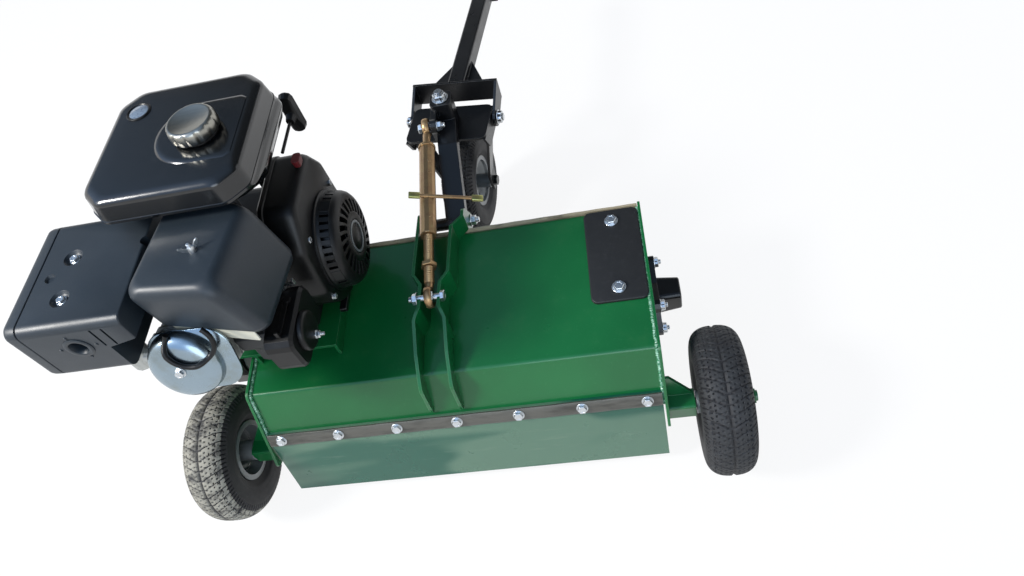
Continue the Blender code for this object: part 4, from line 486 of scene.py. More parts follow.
def green_paint():
    look = Look("green_paint", (0.0015, 0.088, 0.020), 0.30)
    look.set({"Specular IOR Level": 0.35})
    look.round_edges(0.0015)
    # Painted reflection: large soft lighter-green blotches stand in for the sky mirrored in the glossy hood
    look.spots((3.5, 3.0), 0.35, 0.70, (0.004, 0.135, 0.032), 0.55)
    look.spots((260.0, 2.0), 0.62, 0.75, (0.07, 0.22, 0.10), 0.12)
    dust = look.math("MULTIPLY", look.upward(), look.steps(look.noise(14.0, 6.0, 0.65), 0.52, 0.78))
    look.tint(dust, (0.15, 0.22, 0.11), 0.08)
    # Painted highlight: pale green along the outer edges and creases, standing in for light caught there
    look.tint(look.edges(), (0.16, 0.38, 0.20), 0.60)
    look.rough(9.0, 4.0, 0.22, 0.40)
    look.bump(420.0, 2.0, 0.05, 0.0006)
    return look.coat(0.35, 0.10)


def weld_paint():
    look = Look("weld_paint", (0.010, 0.150, 0.055), 0.38)
    look.spots((170.0, 5.0, 0.7), 0.42, 0.60, (0.32, 0.52, 0.38), 0.75)
    look.bump(300.0, 4.0, 0.5, 0.002)
    return look.coat(0.5, 0.15)


def flap_sheet():
    look = Look("flap_sheet", (0.006, 0.075, 0.044), 0.28)
    look.set({"Specular IOR Level": 0.35})
    # Painted reflection: stretched pale grey-green blotches and streaks stand in for the sky mirrored in the
    # glossy flap
    look.spots((2.2, 2.0, 0.4, (1.0, 1.0, 4.0), 0.6), 0.46, 0.56, (0.085, 0.160, 0.100), 0.85)
    look.spots((30.0, 6.0, 0.7, (0.4, 1.0, 3.0)), 0.55, 0.75, (0.18, 0.24, 0.17), 0.22)
    look.rough(16.0, 5.0, 0.20, 0.38)
    look.bump(7.0, 2.0, 0.08, 0.01)
    return look.coat(0.3, 0.10)


def black_paint():
    look = Look("black_paint", (0.0032, 0.0034, 0.0040), 0.30)
    look.round_edges(0.0015)
    look.spots((40.0, 6.0, 0.7), 0.55, 0.80, (0.018, 0.018, 0.016), 0.30)
    look.tint(look.edges(0.0012), (0.09, 0.09, 0.085), 0.50)
    look.rough(25.0, 4.0, 0.20, 0.42)
    return look.bump(350.0, 3.0, 0.08, 0.0008)


def black_plastic():
    look = Look("black_plastic", (0.0036, 0.0036, 0.0036), 0.36)
    look.set({"Specular IOR Level": 0.30})
    look.round_edges(0.0010)
    look.spots((60.0, 5.0), 0.50, 0.80, (0.011, 0.011, 0.011), 0.5)
    look.rough(30.0, 4.0, 0.30, 0.48)
    return look.bump(900.0, 2.0, 0.10, 0.0004)


def tank_enamel():
    look = Look("tank_enamel", (0.0028, 0.0032, 0.0036), 0.22)
    look.spots((24.0, 5.0), 0.55, 0.80, (0.010, 0.010, 0.011), 0.6)
    look.rough(18.0, 4.0, 0.15, 0.27)
    look.bump(300.0, 2.0, 0.03, 0.0006)
    return look.coat(0.4, 0.10)


def satin_black():
    look = Look("satin_black", (0.010, 0.016, 0.022), 0.44)
    look.spots((12.0, 6.0, 0.65), 0.50, 0.80, (0.026, 0.034, 0.042), 0.35)
    look.spots((420.0, 2.0), 0.58, 0.72, (0.034, 0.040, 0.046), 0.30)
    look.rough(22.0, 4.0, 0.36, 0.52)
    return look.bump(1100.0, 2.0, 0.18, 0.0004)


def cast_aluminium():
    look = Look("cast_aluminium", (0.46, 0.47, 0.45), 0.42, 0.85)
    look.round_edges(0.0012)
    look.spots((30.0, 6.0, 0.7), 0.45, 0.75, (0.24, 0.24, 0.22), 0.5)
    look.rough(40.0, 4.0, 0.32, 0.58)
    return look.bump(600.0, 3.0, 0.25, 0.0008)


def dark_casting():
    look = Look("dark_casting", (0.020, 0.021, 0.022), 0.50, 0.3)
    look.round_edges(0.0012)
    look.spots((40.0, 5.0, 0.7), 0.45, 0.75, (0.045, 0.045, 0.042), 0.5)
    return look.bump(500.0, 3.0, 0.25, 0.0008)


def cream_plate():
    look = Look("cream_plate", (0.52, 0.49, 0.38), 0.45)
    look.round_edges(0.0010)
    look.spots((35.0, 5.0), 0.45, 0.75, (0.36, 0.33, 0.25), 0.5)
    return look.bump(500.0, 2.0, 0.10, 0.0006)


def zinc():
    look = Look("zinc", (0.62, 0.65, 0.67), 0.26, 1.0)
    look.round_edges(0.0006)
    look.spots((150.0, 5.0, 0.7), 0.45, 0.75, (0.33, 0.36, 0.38), 0.6)
    look.rough(200.0, 3.0, 0.18, 0.42)
    return look.bump(700.0, 2.0, 0.10, 0.0004)


def pressed_zinc():
    look = Look("pressed_zinc", (0.30, 0.38, 0.44), 0.22, 1.0)
    look.spots((20.0, 5.0, 0.7), 0.40, 0.75, (0.24, 0.26, 0.22), 0.55)
    look.rough(60.0, 4.0, 0.16, 0.34)
    return look.bump(240.0, 2.0, 0.06, 0.0006)


def gold_zinc():
    look = Look("gold_zinc", (0.42, 0.27, 0.13), 0.36, 0.85)
    look.round_edges(0.0008)
    look.spots((45.0, 5.0, 0.7), 0.42, 0.66, (0.34, 0.19, 0.10), 0.7)
    look.spots((120.0, 4.0, 0.7), 0.55, 0.75, (0.50, 0.46, 0.22), 0.55)
    look.rough(90.0, 4.0, 0.28, 0.50)
    return look.bump(420.0, 3.0, 0.12, 0.0005)


def yellow_zinc():
    look = Look("yellow_zinc", (0.46, 0.44, 0.16), 0.34, 0.85)
    look.round_edges(0.0008)
    look.spots((120.0, 4.0, 0.7), 0.45, 0.75, (0.30, 0.30, 0.12), 0.55)
    look.rough(90.0, 4.0, 0.26, 0.46)
    return look.bump(420.0, 3.0, 0.12, 0.0005)


def bare_strip():
    look = Look("bare_strip", (0.105, 0.100, 0.085), 0.46, 0.45)
    look.round_edges(0.0008)
    look.spots((26.0, 6.0, 0.7, (0.3, 1.0, 2.0)), 0.42, 0.70, (0.030, 0.028, 0.024), 0.75)
    look.tint(look.edges(0.0010), (0.45, 0.47, 0.40), 0.8)
    look.rough(70.0, 4.0, 0.34, 0.60)
    return look.bump(350.0, 4.0, 0.20, 0.0008)


def flail_steel():
    look = Look("flail_steel", (0.16, 0.14, 0.12), 0.50, 0.7)
    look.round_edges(0.0008)
    look.spots((60.0, 5.0, 0.7), 0.45, 0.70, (0.07, 0.045, 0.03), 0.6)
    return look.bump(300.0, 4.0, 0.25, 0.0008)


def grey_rim():
    look = Look("grey_rim", (0.150, 0.160, 0.158), 0.36, 0.30)
    look.round_edges(0.0012)
    look.spots((28.0, 6.0, 0.7), 0.50, 0.75, (0.075, 0.075, 0.070), 0.6)
    look.rough(50.0, 4.0, 0.26, 0.46)
    look.bump(200.0, 3.0, 0.08, 0.0008)
    return look.coat(0.3, 0.2)


def tyre_rubber(name, top, amount):
    """Black rubber whose tread tops, marked by the mesh, carry dry dust."""
    look = Look(name, (0.0080, 0.0076, 0.0088), 0.62)
    tread = look.node("ShaderNodeAttribute", attribute_name="tread").outputs["Fac"]
    patches = look.steps(look.noise(34.0, 6.0, 0.7), 0.30, 0.58)
    look.tint(look.math("MULTIPLY", tread, patches), top, amount)
    look.spots((260.0, 3.0, 0.7), 0.66, 0.76, (0.20, 0.18, 0.15), 0.30)
    look.rough(40.0, 4.0, 0.55, 0.80)
    return look.bump(500.0, 3.0, 0.25, 0.0008)


def dusty_tyre():
    return tyre_rubber("dusty_tyre", (0.27, 0.25, 0.20), 0.95)


def dark_tyre():
    return tyre_rubber("dark_tyre", (0.019, 0.020, 0.021), 0.85)


def pad_rubber():
    look = Look("pad_rubber", (0.0062, 0.0062, 0.0062), 0.55)
    look.spots((90.0, 5.0), 0.50, 0.80, (0.016, 0.016, 0.016), 0.6)
    look.rough(60.0, 4.0, 0.45, 0.65)
    return look.bump(700.0, 3.0, 0.20, 0.0005)


def cap_metal():
    look = Look("cap_metal", (0.34, 0.33, 0.29), 0.30, 1.0)
    look.spots((22.0, 3.0, 0.5, (1.0, 6.0, 1.0)), 0.40, 0.65, (0.27, 0.27, 0.25), 0.6)
    look.rough(260.0, 3.0, 0.24, 0.38)
    return look.bump(500.0, 2.0, 0.06, 0.0004)


def gauge_glass():
    look = Look("gauge_glass", (0.16, 0.20, 0.25), 0.18)
    look.spots((240.0, 4.0, 0.7), 0.45, 0.65, (0.05, 0.07, 0.10), 0.7)
    return look.coat(1.0, 0.05)


def red_plastic():
    look = Look("red_plastic", (0.110, 0.008, 0.010), 0.40)
    look.spots((120.0, 4.0), 0.50, 0.80, (0.05, 0.005, 0.006), 0.6)
    return look.bump(600.0, 2.0, 0.08, 0.0005)


def tan_rubber():
    look = Look("tan_rubber", (0.330, 0.270, 0.170), 0.70)
    look.spots((55.0, 6.0, 0.7, (0.3, 1.0, 1.0)), 0.45, 0.68, (0.100, 0.080, 0.048), 0.75)
    return look.bump(260.0, 4.0, 0.25, 0.0010)


MAKERS = (
    green_paint, weld_paint, flap_sheet, black_paint, black_plastic, tank_enamel, satin_black, cast_aluminium,
    cream_plate, dark_casting, zinc, pressed_zinc, gold_zinc, bare_strip, yellow_zinc, flail_steel, grey_rim,
    pad_rubber, dusty_tyre, dark_tyre, cap_metal, gauge_glass, red_plastic, tan_rubber,
)

NODE_LOOKS = {
    "green_paint": ["deck_shell", "side_plate_left", "side_plate_right", "engine_mount", "bracket_left",
                    "bracket_right", "stub_axle_left", "stub_axle_right"],
    "black_paint": ["bearing_left", "bearing_right", "rotor_shaft", "idler_arm", "belt_guard", "front_arm",
                    "steering_fork", "drawbar"],
    "black_plastic": ["recoil_cover", "blower_housing", "starter_grip", "control_box", "choke_lever"],
    "tank_enamel": ["fuel_tank"],
    "satin_black": ["air_cleaner", "muffler_guard"],
    "cast_aluminium": ["cylinder_head"],
    "dark_casting": ["crankcase", "carburettor"],
    "zinc": ["wing_nut", "throttle_lever", "lower_bolt", "arm_bolt", "upper_bolt", "idler_pulley"],
    "pressed_zinc": ["valve_cover"],
    "gold_zinc": ["rod_end_lower", "rod_end_upper", "turnbuckle_tube"],
    "bare_strip": ["clamp_strip"],
    "flap_sheet": ["rear_flap"],
    "grey_rim": ["rim_left", "rim_right", "castor_rim", "engine_pulley", "rotor_pulley"],
    "pad_rubber": ["front_curtain", "top_pad"],
    "dark_tyre": ["tyre_left", "tyre_right", "castor_tyre", "drive_belt"],
    "cap_metal": ["fuel_cap"],
    "red_plastic": ["stop_switch"],
    "flail_steel": ["flail_%02d" % number for number in range(1, 9)],
}


def dress_nodes():
    for look, names in NODE_LOOKS.items():
        for name in names:
            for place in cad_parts[name].material_slots:
                place.material = LOOKS[look]


# Hood
def on_rear(s, lift=0.0):
    """A place on the rear panel, s down from the ridge and lift out of it, as (y, z)."""
    return (
        RIDGE[0] - s * cos(REAR_SLOPE) - lift * sin(REAR_SLOPE),
        RIDGE[1] - s * sin(REAR_SLOPE) + lift * cos(REAR_SLOPE),
    )


def on_top(t, lift=0.0):
    """A place on the top panel, t forward from the ridge and lift out of it, as (y, z)."""
    return (
        RIDGE[0] + t * cos(TOP_SLOPE) - lift * sin(TOP_SLOPE),
        RIDGE[1] + t * sin(TOP_SLOPE) + lift * cos(TOP_SLOPE),
    )


def make_hood_welds():
    """Ripple welds where the sheet meets its end plates."""
    shape = []
    for side in (-1, 1):
        x = side * (HOOD_HALF - SIDE_PLATE - 0.0015)
        ridge = (x, *on_rear(0.0, 0.0012))
        shape += weld((x, *on_top(TOP_LENGTH - 0.004, 0.001)), ridge, 0.0034)
        shape += weld(ridge, (x, *on_rear(REAR_LENGTH + 0.004, 0.0012)), 0.0038)
    piece("hood_welds", shape, "weld_paint", "deck")


def strip_section(i):
    wave = 0.0004 * sin(i * 0.9)
    edge = REAR_LENGTH + 0.001
    outline = ((0.0, 0.0), (0.0, 0.004), (0.0006, 0.0044), (STRIP_HEIGHT - 0.0006, 0.0044),
               (STRIP_HEIGHT, 0.004), (STRIP_HEIGHT, 0.0))
    return [on_rear(edge - s, STRIP_LIFT + out + wave) for s, out in outline]


def make_clamp_strip():
    """The strip over the flap's upper edge, a little wavy, with its bolts."""
    half = HOOD_HALF - SIDE_PLATE - 0.0035
    piece("strip_face", carried(half, 60, strip_section), "bare_strip", "deck", replaces=["clamp_strip"])
    shape = []
    spread = half - 0.0265
    line = on_rear(REAR_LENGTH + 0.001 - STRIP_HEIGHT / 2, STRIP_LIFT + 0.0042)
    for i in range(STRIP_BOLTS):
        x = -spread + 2 * spread * i / (STRIP_BOLTS - 1)
        shape += hex_head((x, *line), REAR_NORMAL, 0.0155, 0.0062)
    piece("strip_bolts", shape, "zinc", "deck", 25.0)


def make_top_pad():
    """The rubber pad with its rounded edge and two bolts on washers."""
    right = HOOD_HALF - SIDE_PLATE - 0.0013
    left = right - PAD_WIDTH
    rear = TOP_LENGTH - 0.004 - PAD_LENGTH
    front = rear + PAD_LENGTH
    rings = []
    for lift, inset in ((0.0003, 0.0), (0.0040, 0.0), (0.0052, 0.0004), (0.0058, 0.0012), (0.0060, 0.0024)):
        flat = rounded(rect(left, right, rear, front, inset), 0.013 - inset, 8)
        rings.append([Vector((x, *on_top(t, lift))) for x, t in flat])
    piece("pad_sheet", loft(rings), "pad_rubber", "deck", replaces=["top_pad"])
    shape = []
    for reach in (-PAD_BOLT_REACH, PAD_BOLT_REACH):
        place = ((left + right) / 2, *on_top((rear + front) / 2 + reach, 0.0060))
        shape += hex_head(place, TOP_NORMAL, 0.0185, 0.0070)
    piece("pad_bolts", shape, "zinc", "deck", 25.0)


def lip_section(i):
    front, top = on_top(TOP_LENGTH)
    wave = 0.0004 * sin(i * 1.7)
    return [
        (front + 0.0004, top - 0.020), (front + 0.0062 + wave, top - 0.020),
        (front + 0.0062 + wave, top + 0.0012), (front + 0.0050, top + 0.0028 + wave),
        (front + 0.0012, top + 0.0022), (front + 0.0004, top + 0.0002),
    ]


def make_front_lip():
    """The dusty strip along the hood's front edge."""
    piece("front_lip", carried(HOOD_HALF - SIDE_PLATE - 0.001, 50, lip_section), "tan_rubber", "deck")


# Wheels
def tread_depth(turn, t, blocks):
    """How deep the tyre is cut at an angle and a place across, and whether this is a tread top."""
    across = abs(t)
    slant = (turn + TREAD_SLANT * across) / (tau / blocks)
    phase = slant % 1.0
    half_phase = (slant * 2.0) % 1.0
    depth = 0.0
    if across < 0.036 + 0.008 * sin(turn * blocks):
        depth = 0.0030
    if 0.05 < across < 0.84 and min(phase, 1.0 - phase) < 0.055:
        depth = max(depth, 0.0016)
    for row in (0.17, 0.34, 0.51, 0.68):
        if abs(across - row) < 0.034 and abs(((half_phase + row * 1.7) % 1.0) - 0.5) < 0.15:
            depth = max(depth, 0.0028)
    if 0.70 < across < 0.745 and phase < 0.45:
        depth = max(depth, 0.0020)
    if 0.84 < across < 0.985 and min(half_phase, 1.0 - half_phase) < 0.13:
        depth = max(depth, 0.0024)
    return depth, 1.0 if across < 0.86 and depth == 0.0 else 0.0


def tyre_row(angle, radius, width, bead, flange, blocks):
    """The tyre's closed section at an angle, as across, radius and tread mark."""
    half = width / 2
    wall = (radius + bead) / 2
    row = []
    for k in range(TYRE_ACROSS + 1):
        bend = TYRE_WALL_START + TYRE_WALL_SWEEP * k / TYRE_ACROSS
        c, s = cos(bend), sin(bend)
        x = copysign(abs(c) ** (2 / TYRE_SQUARE), c) * half
        r = wall + copysign(abs(s) ** (2 / TYRE_SQUARE), s) * (radius - wall)
        depth, top = 0.0006 * max(0.0, sin(s * 26.0)) ** 6, 0.0
        if s > 0.30:
            depth, top = tread_depth(angle, x / half, blocks)
        row.append((x - c * depth, r - s * depth, top))
    inner = width * BEAD_SHARE
    for x, r in ((-inner, flange + 0.0006), (-inner, bead + 0.0003), (inner, bead + 0.0003),
                 (inner, flange + 0.0006)):
        row.append((x, r, 0.0))
    return row


def make_tyre(name, node, body, look, centre, turn, radius, width, bead, flange, blocks):
    """A tyre on the CAD one's profile, with its tread cut in."""
    place = at(*centre) @ Matrix.Rotation(turn, 4, "Z")
    bm = bmesh.new()
    mark = bm.verts.layers.float.new("tread")
    rows = []
    for i in range(TYRE_AROUND):
        angle = tau * i / TYRE_AROUND
        row = []
        for x, r, top in tyre_row(angle, radius, width, bead, flange, blocks):
            vert = bm.verts.new(place @ Vector((x, r * cos(angle), r * sin(angle))))
            vert[mark] = top
            row.append(vert)
        rows.append(row)
    for i, a in enumerate(rows):
        b = rows[(i + 1) % TYRE_AROUND]
        for k in range(len(a)):
            j = (k + 1) % len(a)
            bm.faces.new((a[k], b[k], b[j], a[j]))
    piece(name, bm, look, body, 50.0, replaces=[node])


def make_rim(name, node, body, centre, turn, side, width, bead, flange, hub, hub_half, bore, openings):
    """A pressed rim: rolled flanges, barrel, dished disc with round openings, and its hub."""
    rotation = Matrix.Rotation(turn, 4, "Z") @ along("x")
    spin = at(*centre) @ rotation
    edge = width * BEAD_SHARE + 0.0003
    inside = bead - RIM_WALL
    disc = 0.010
    back = disc - RIM_WALL
    lip = [
        (edge - 0.020, bead - 0.008), (edge - 0.017, bead - 0.003), (edge - 0.012, bead - 0.0002),
        (edge, bead), (edge, flange - 0.001), (edge + 0.0004, flange), (edge + 0.0026, flange),
        (edge + 0.0030, flange - 0.001),
    ]
    outer = [(-a, r) for a, r in reversed(lip)] + lip
    outer += [
        (edge + 0.003, inside + 0.001), (edge - 0.004, inside - 0.001), (disc + 0.008, inside - 0.009),
        (disc + 0.003, inside - 0.012), (disc - 0.001, bead - 0.020), (disc - 0.003, hub + 0.004),
        (disc, hub), (hub_half - 0.001, hub), (hub_half, hub - 0.001), (hub_half, bore), (-hub_half, bore),
        (-hub_half, hub - 0.001), (-hub_half + 0.001, hub), (back - 0.003, hub), (back - 0.004, hub + 0.004),
        (back - 0.002, bead - 0.020), (back, inside - 0.012), (disc - 0.006, inside - 0.009),
        (-edge + 0.004, inside - 0.001), (-edge - 0.003, inside + 0.001),
    ]
    shape = lathe([(side * a, r) for a, r in outer], spin, 72, closed=True)
    rim = piece(name, shape, "grey_rim", body, 35.0, replaces=[node])
    middle = (hub + bead - 0.010) / 2
    size = (bead - 0.010 - hub) * 0.36
    tools = []
    for i in range(openings):
        angle = tau * (i + 0.5) / openings + 0.1
        spot = spin @ Vector((middle * cos(angle), middle * sin(angle), 0.0))
        tools.append(lathe([(-0.03, size), (0.03, size)], at(*spot) @ rotation, 24))
    carve(rim, tools)


def make_wheels():
    for side, name, look in ((-1, "left", "dusty_tyre"), (1, "right", "dark_tyre")):
        body = "wheel_" + name
        centre = (side * TRACK_HALF, 0.0, REAR_RADIUS)
        make_tyre("tread_" + name, "tyre_" + name, body, look, centre, radius=REAR_RADIUS, blocks=44,
                  **REAR_WHEEL)
        make_rim("pressed_rim_" + name, "rim_" + name, body, centre, side=side, hub=0.021, hub_half=0.046,
                 bore=0.0103, openings=4, **REAR_WHEEL)
    centre = (*STEER_PLACE, FRONT_RADIUS)
    make_tyre("tread_front", "castor_tyre", "castor_wheel", "dark_tyre", centre, radius=FRONT_RADIUS,
              blocks=40, **FRONT_WHEEL)
    make_rim("pressed_rim_front", "castor_rim", "castor_wheel", centre, side=1, hub=0.017, hub_half=0.054,
             bore=0.0073, openings=5, **FRONT_WHEEL)


# Engine
def make_tank():
    """Two pressed shells on a seam."""
    left, right = TANK_SIDES
    rear, front = TANK_ENDS
    levels = [(TANK_BOTTOM, 0.026, 0.062), (TANK_BOTTOM + 0.002, 0.016, 0.058)]
    levels += [(TANK_BOTTOM + 0.006, 0.010, 0.056), (TANK_BOTTOM + 0.014, 0.002, 0.053)]
    levels += [(AIR_TOP + 0.003, -0.004, 0.052), (AIR_TOP + 0.006, -0.0045, 0.046)]
    levels += [(AIR_TOP + 0.012, -0.0032, 0.012), (AIR_TOP + 0.015, -0.0025, 0.005)]
    for rise, inset, behind in (
        (-0.0045, -0.0003, 0.0005), (-0.0032, -0.0002, -0.0002), (-0.0028, -0.0012, -0.0012),
        (0.0018, -0.0012, -0.0012), (0.0022, -0.0002, -0.0002), (0.003, 0.0, 0.0),
    ):
        levels.append((TANK_SEAM + rise, inset, behind))
    for k in range(9):
        bend = pi / 2 * k / 8
        inset = 0.0028 + 0.0150 * (1 - cos(bend))
        levels.append((TANK_TOP - 0.012 + 0.012 * sin(bend), inset, inset))
    levels.append((TANK_TOP + 0.0004, 0.045, 0.045))
    rings = []
    for z, inset, behind in levels:
        flat = cut_rect(left + inset, right - inset, rear + behind, front - inset, 0.031)
        rings.append([Vector((x, y, z)) for x, y in rounded(flat, 0.026)])
    piece("tank_shell", loft(rings), "tank_enamel", "deck", 40.0, replaces=["fuel_tank"])


def make_tank_boss():
    """A boss that is proud round the neck and runs out flush towards the right shoulder."""
    x_middle, y_middle = BOSS_MIDDLE
    end = TANK_SIDES[1] - 0.020
    rings = []
    levels = ((-0.002, -0.002), (0.0, -0.0012), (0.0032, 0.0016), (0.0048, 0.0048), (0.0054, 0.010))
    for rise, inset in levels:
        reach = BOSS_REACH - inset
        outline = arc(BOSS_MIDDLE, reach, pi / 2, pi * 1.5, 28)
        outline += [(end - 0.010, y_middle - reach), (end, y_middle - reach + 0.008)]
        outline += [(end, y_middle + reach - 0.008), (end - 0.010, y_middle + reach)]
        ring = []
        for x, y in outline:
            fade = min(1.0, max(0.0, (end - x) / (end - x_middle + BOSS_REACH)))
            ring.append(Vector((x, y, TANK_TOP + rise * (0.18 + 0.82 * fade))))
        rings.append(ring)
    piece("tank_boss", loft(rings), "tank_enamel", "deck", 40.0)


def make_gauge():
    """The level gauge's ring and glass, and the filler neck's collar."""
    spot = at(*GAUGE_PLACE, TANK_TOP - 0.001)
    ring = [(0.0, 0.0215), (0.0024, 0.0215), (0.0036, 0.0205), (0.0036, 0.0185), (0.0016, 0.0165),
            (0.0, 0.0163)]
    piece("gauge_ring", lathe(ring, spot, closed=True), "black_plastic", "deck")
    lens = [(0.0, 0.0164), (0.0020, 0.0164), (0.0030, 0.013), (0.0034, 0.0003)]
    piece("gauge_lens", lathe(lens, spot, 40), "gauge_glass", "deck")
    collar = [(0.0, 0.034), (0.0058, 0.033), (0.0062, 0.030), (0.0062, 0.0005)]
    piece("neck_collar", lathe(collar, at(*CAP_PLACE, TANK_TOP), 40), "black_plastic", "deck")


def make_cap():
    """A pressed cap with twelve grip flutes and a flat brushed top."""
    low, high = own_box("fuel_cap")
    centre = (low + high) / 2
    turns = [tau * k / 144 for k in range(144)]
    rings = []
    for z, share, flute in (
        (0.0, 0.90, 0.2), (0.0012, 0.96, 1.0), (0.004, 1.0, 1.0), (0.015, 0.995, 1.0), (0.0195, 0.97, 0.7),
        (0.0222, 0.93, 0.35), (0.0236, 0.88, 0.1), (0.0240, 0.84, 0.0), (0.0240, 0.80, 0.0),
        (0.0236, 0.78, 0.0), (0.0236, 0.01, 0.0),
    ):
        ring = []
        for turn in turns:
            size = CAP_RADIUS * share * (1.0 - 0.050 * flute * max(0.0, cos(turn * 12)) ** 2)
            ring.append(Vector((centre[0] + size * cos(turn), centre[1] + size * sin(turn), low[2] + z)))
        rings.append(ring)
    piece("cap_shell", loft(rings), "cap_metal", "fuel_cap", 50.0, replaces=["fuel_cap"])


def in_cleaner(x, y, z):
    """A place in the air cleaner before it slants and turns, as it stands on the machine."""
    share = (AIR_TOP - z) / (AIR_TOP - AIR_BOTTOM)
    drop = AIR_SLANT * share * (x - AIR_LEFT) / (AIR_FOOT - AIR_LEFT)
    middle = Vector(((AIR_LEFT + AIR_RIGHT) / 2, (AIR_REAR + AIR_FRONT) / 2, 0.0))
    return middle + Matrix.Rotation(AIR_YAW, 3, "Z") @ (Vector((x, y, z - drop)) - middle)


def make_air_cleaner():
    """A moulded cover with wide soft edges, and its neck."""
    slope = (AIR_FOOT - AIR_RIGHT) / (AIR_TOP - AIR_BOTTOM)
    soft = 0.020
    levels = [(AIR_BOTTOM, 0.020), (AIR_BOTTOM + 0.001, 0.014), (AIR_BOTTOM + 0.004, 0.009)]
    levels += [(AIR_BOTTOM + 0.012, 0.004), (AIR_BOTTOM + 0.014, 0.0035)]
    for k in range(9):
        bend = pi / 2 * k / 8
        levels.append((AIR_TOP - soft + soft * sin(bend), soft * 0.85 * (1 - cos(bend))))
    levels.append((AIR_TOP + 0.0002, soft + 0.020))
    rings = []
    for z, inset in levels:
        right = AIR_RIGHT + slope * (AIR_TOP - z)
        flat = rect(AIR_LEFT + inset, right - inset, AIR_REAR + inset, AIR_FRONT - inset * 0.4)
        rings.append([in_cleaner(x, y, z) for x, y in rounded(flat, 0.022, 8)])
    neck = lathe([(0.0, 0.0190), (0.0012, 0.0200), (0.0360, 0.0200), (0.0360, 0.0005)], at(*AIR_NECK), 32)
    piece("cleaner_cover", loft(rings) + neck, "satin_black", "deck", 50.0, replaces=["air_cleaner"])


def make_wing_nut():
    """The cleaner's wing nut on its stud, over a shallow disc."""
    low, high = own_box("wing_nut")
    spot = at((low[0] + high[0]) / 2, (low[1] + high[1]) / 2, AIR_TOP)
    disc = [(-0.001, 0.0085), (0.0002, 0.0085), (0.0003, 0.0003)]
    piece("cleaner_washer", lathe(disc, spot, 32), "black_plastic", "deck")
    body = [(0.0003, 0.0062), (0.0040, 0.0058), (0.0085, 0.0048), (0.0100, 0.0040), (0.0100, 0.0004)]
    shape = lathe(body, spot, 24)
    shape += stud(spot @ Vector((0, 0, 0.0098)), (0, 0, 1), 0.0030, 0.0060, 0.001)
    turn = spot @ Matrix.Rotation(radians(35.0), 4, "Z") @ along("y")
    wing = [(0.0, 0.0015), (0.0055, 0.0020), (0.0125, 0.0085), (0.0165, 0.0150), (0.0150, 0.0168),
            (0.0105, 0.0150), (0.0055, 0.0090), (0.0, 0.0080)]
    for side in (-1, 1):
        shape += prism([(side * x, z) for x, z in wing], -0.0013, 0.0013, turn)
    piece("wing_nut_forged", shape, "zinc", "wing_nut", 35.0, bevel=0.0006, replaces=["wing_nut"])


def make_cleaner_base():
    """Turned-down rear lip of the cleaner's base plate."""
    lip = rounded(rect(AIR_LEFT + 0.020, AIR_FOOT - 0.036, AIR_BOTTOM - 0.020, AIR_BOTTOM + 0.004), 0.004, 3)
    rings = [[in_cleaner(x, y, z) for x, z in lip] for y in (AIR_REAR + 0.012, AIR_REAR + 0.0145)]
    piece("cleaner_base", loft(rings), "cream_plate", "deck", 35.0, bevel=0.0008)


def guard_rings(levels, rear, front, bottom, top):
    """Soft upright rectangles at places from left to right."""
    rings = []
    for x, inset in levels:
        flat = rounded(rect(rear, front, bottom, top, inset), GUARD_SOFT, 8)
        rings.append([Vector((x, y, z)) for y, z in flat])
    return rings


def guard_cuts(right, rear, front, bottom, top):
    """What is cut out of the guard: outlet, slots, dished bolt recesses, dimple and notches."""
    outlet = facing((GUARD_OUTLET[0], rear, GUARD_OUTLET[1]), (0, 1, 0))
    cuts = [lathe([(-0.010, 0.0145), (0.030, 0.0145)], outlet, 32)]
    slot = rounded(rect(-0.0018, 0.0018, -0.021, 0.021), 0.0016, 3)
    for x in GUARD_SLOTS:
        cuts.append(prism(slot, -0.010, 0.010, at(x, rear, GUARD_SLOT_HEIGHT) @ along("y")))
    recess = [(-0.0065, 0.0005), (-0.0065, 0.0095), (-0.0048, 0.0125), (-0.0010, 0.0150), (0.001, 0.0172),
              (0.004, 0.0172)]
    for place in GUARD_BOLTS:
        cuts.append(lathe(recess, at(*place, top), 40))
    dimple = [(-0.004, 0.0005), (-0.004, 0.0060), (-0.0010, 0.0085), (0.001, 0.0096), (0.004, 0.0096)]
    cuts.append(lathe(dimple, at(*GUARD_DIMPLE, top), 32))
    cuts.append(lathe([(-0.030, 0.0085), (0.010, 0.0085)], at(right, GUARD_NOTCH, top), 32))
    corner = [(GUARD_CUT, bottom - 0.02), (GUARD_CUT, top - 0.062), (right + 0.01, top - 0.046),
              (right + 0.01, bottom - 0.02)]
    cuts.append(prism(corner, rear - 0.02, front + 0.02, along("y")))
    return cuts


def make_muffler():
    """The heat guard: its body and an end cap on a seam."""
    low, high = own_box("muffler_guard")
    left, rear, bottom = low
    right, front, top = high
    sides = (rear, front, bottom, top)
    seam = left + 0.028
    levels = ((seam + 0.0004, 0.0012), (seam + 0.0018, 0.0), (right - 0.003, 0.0), (right - 0.001, 0.0012),
              (right, 0.004))
    shape = loft(guard_rings(levels, *sides))
    guard = piece("guard_body", shape, "satin_black", "deck", 45.0, replaces=["muffler_guard"])
    carve(guard, guard_cuts(right, *sides))
    levels = ((left, 0.016), (left + 0.0012, 0.010), (left + 0.004, 0.0045), (left + 0.008, 0.0015),
              (left + 0.013, 0.0004), (seam - 0.0016, 0.0), (seam - 0.0004, 0.0012))
    piece("guard_end", loft(guard_rings(levels, *sides)), "satin_black", "deck", 45.0)
    flat = rounded(rect(*sides, 0.003), GUARD_SOFT)
    piece("guard_seam", prism(flat, seam - 0.002, seam + 0.002, along("x")), "black_plastic", "deck")


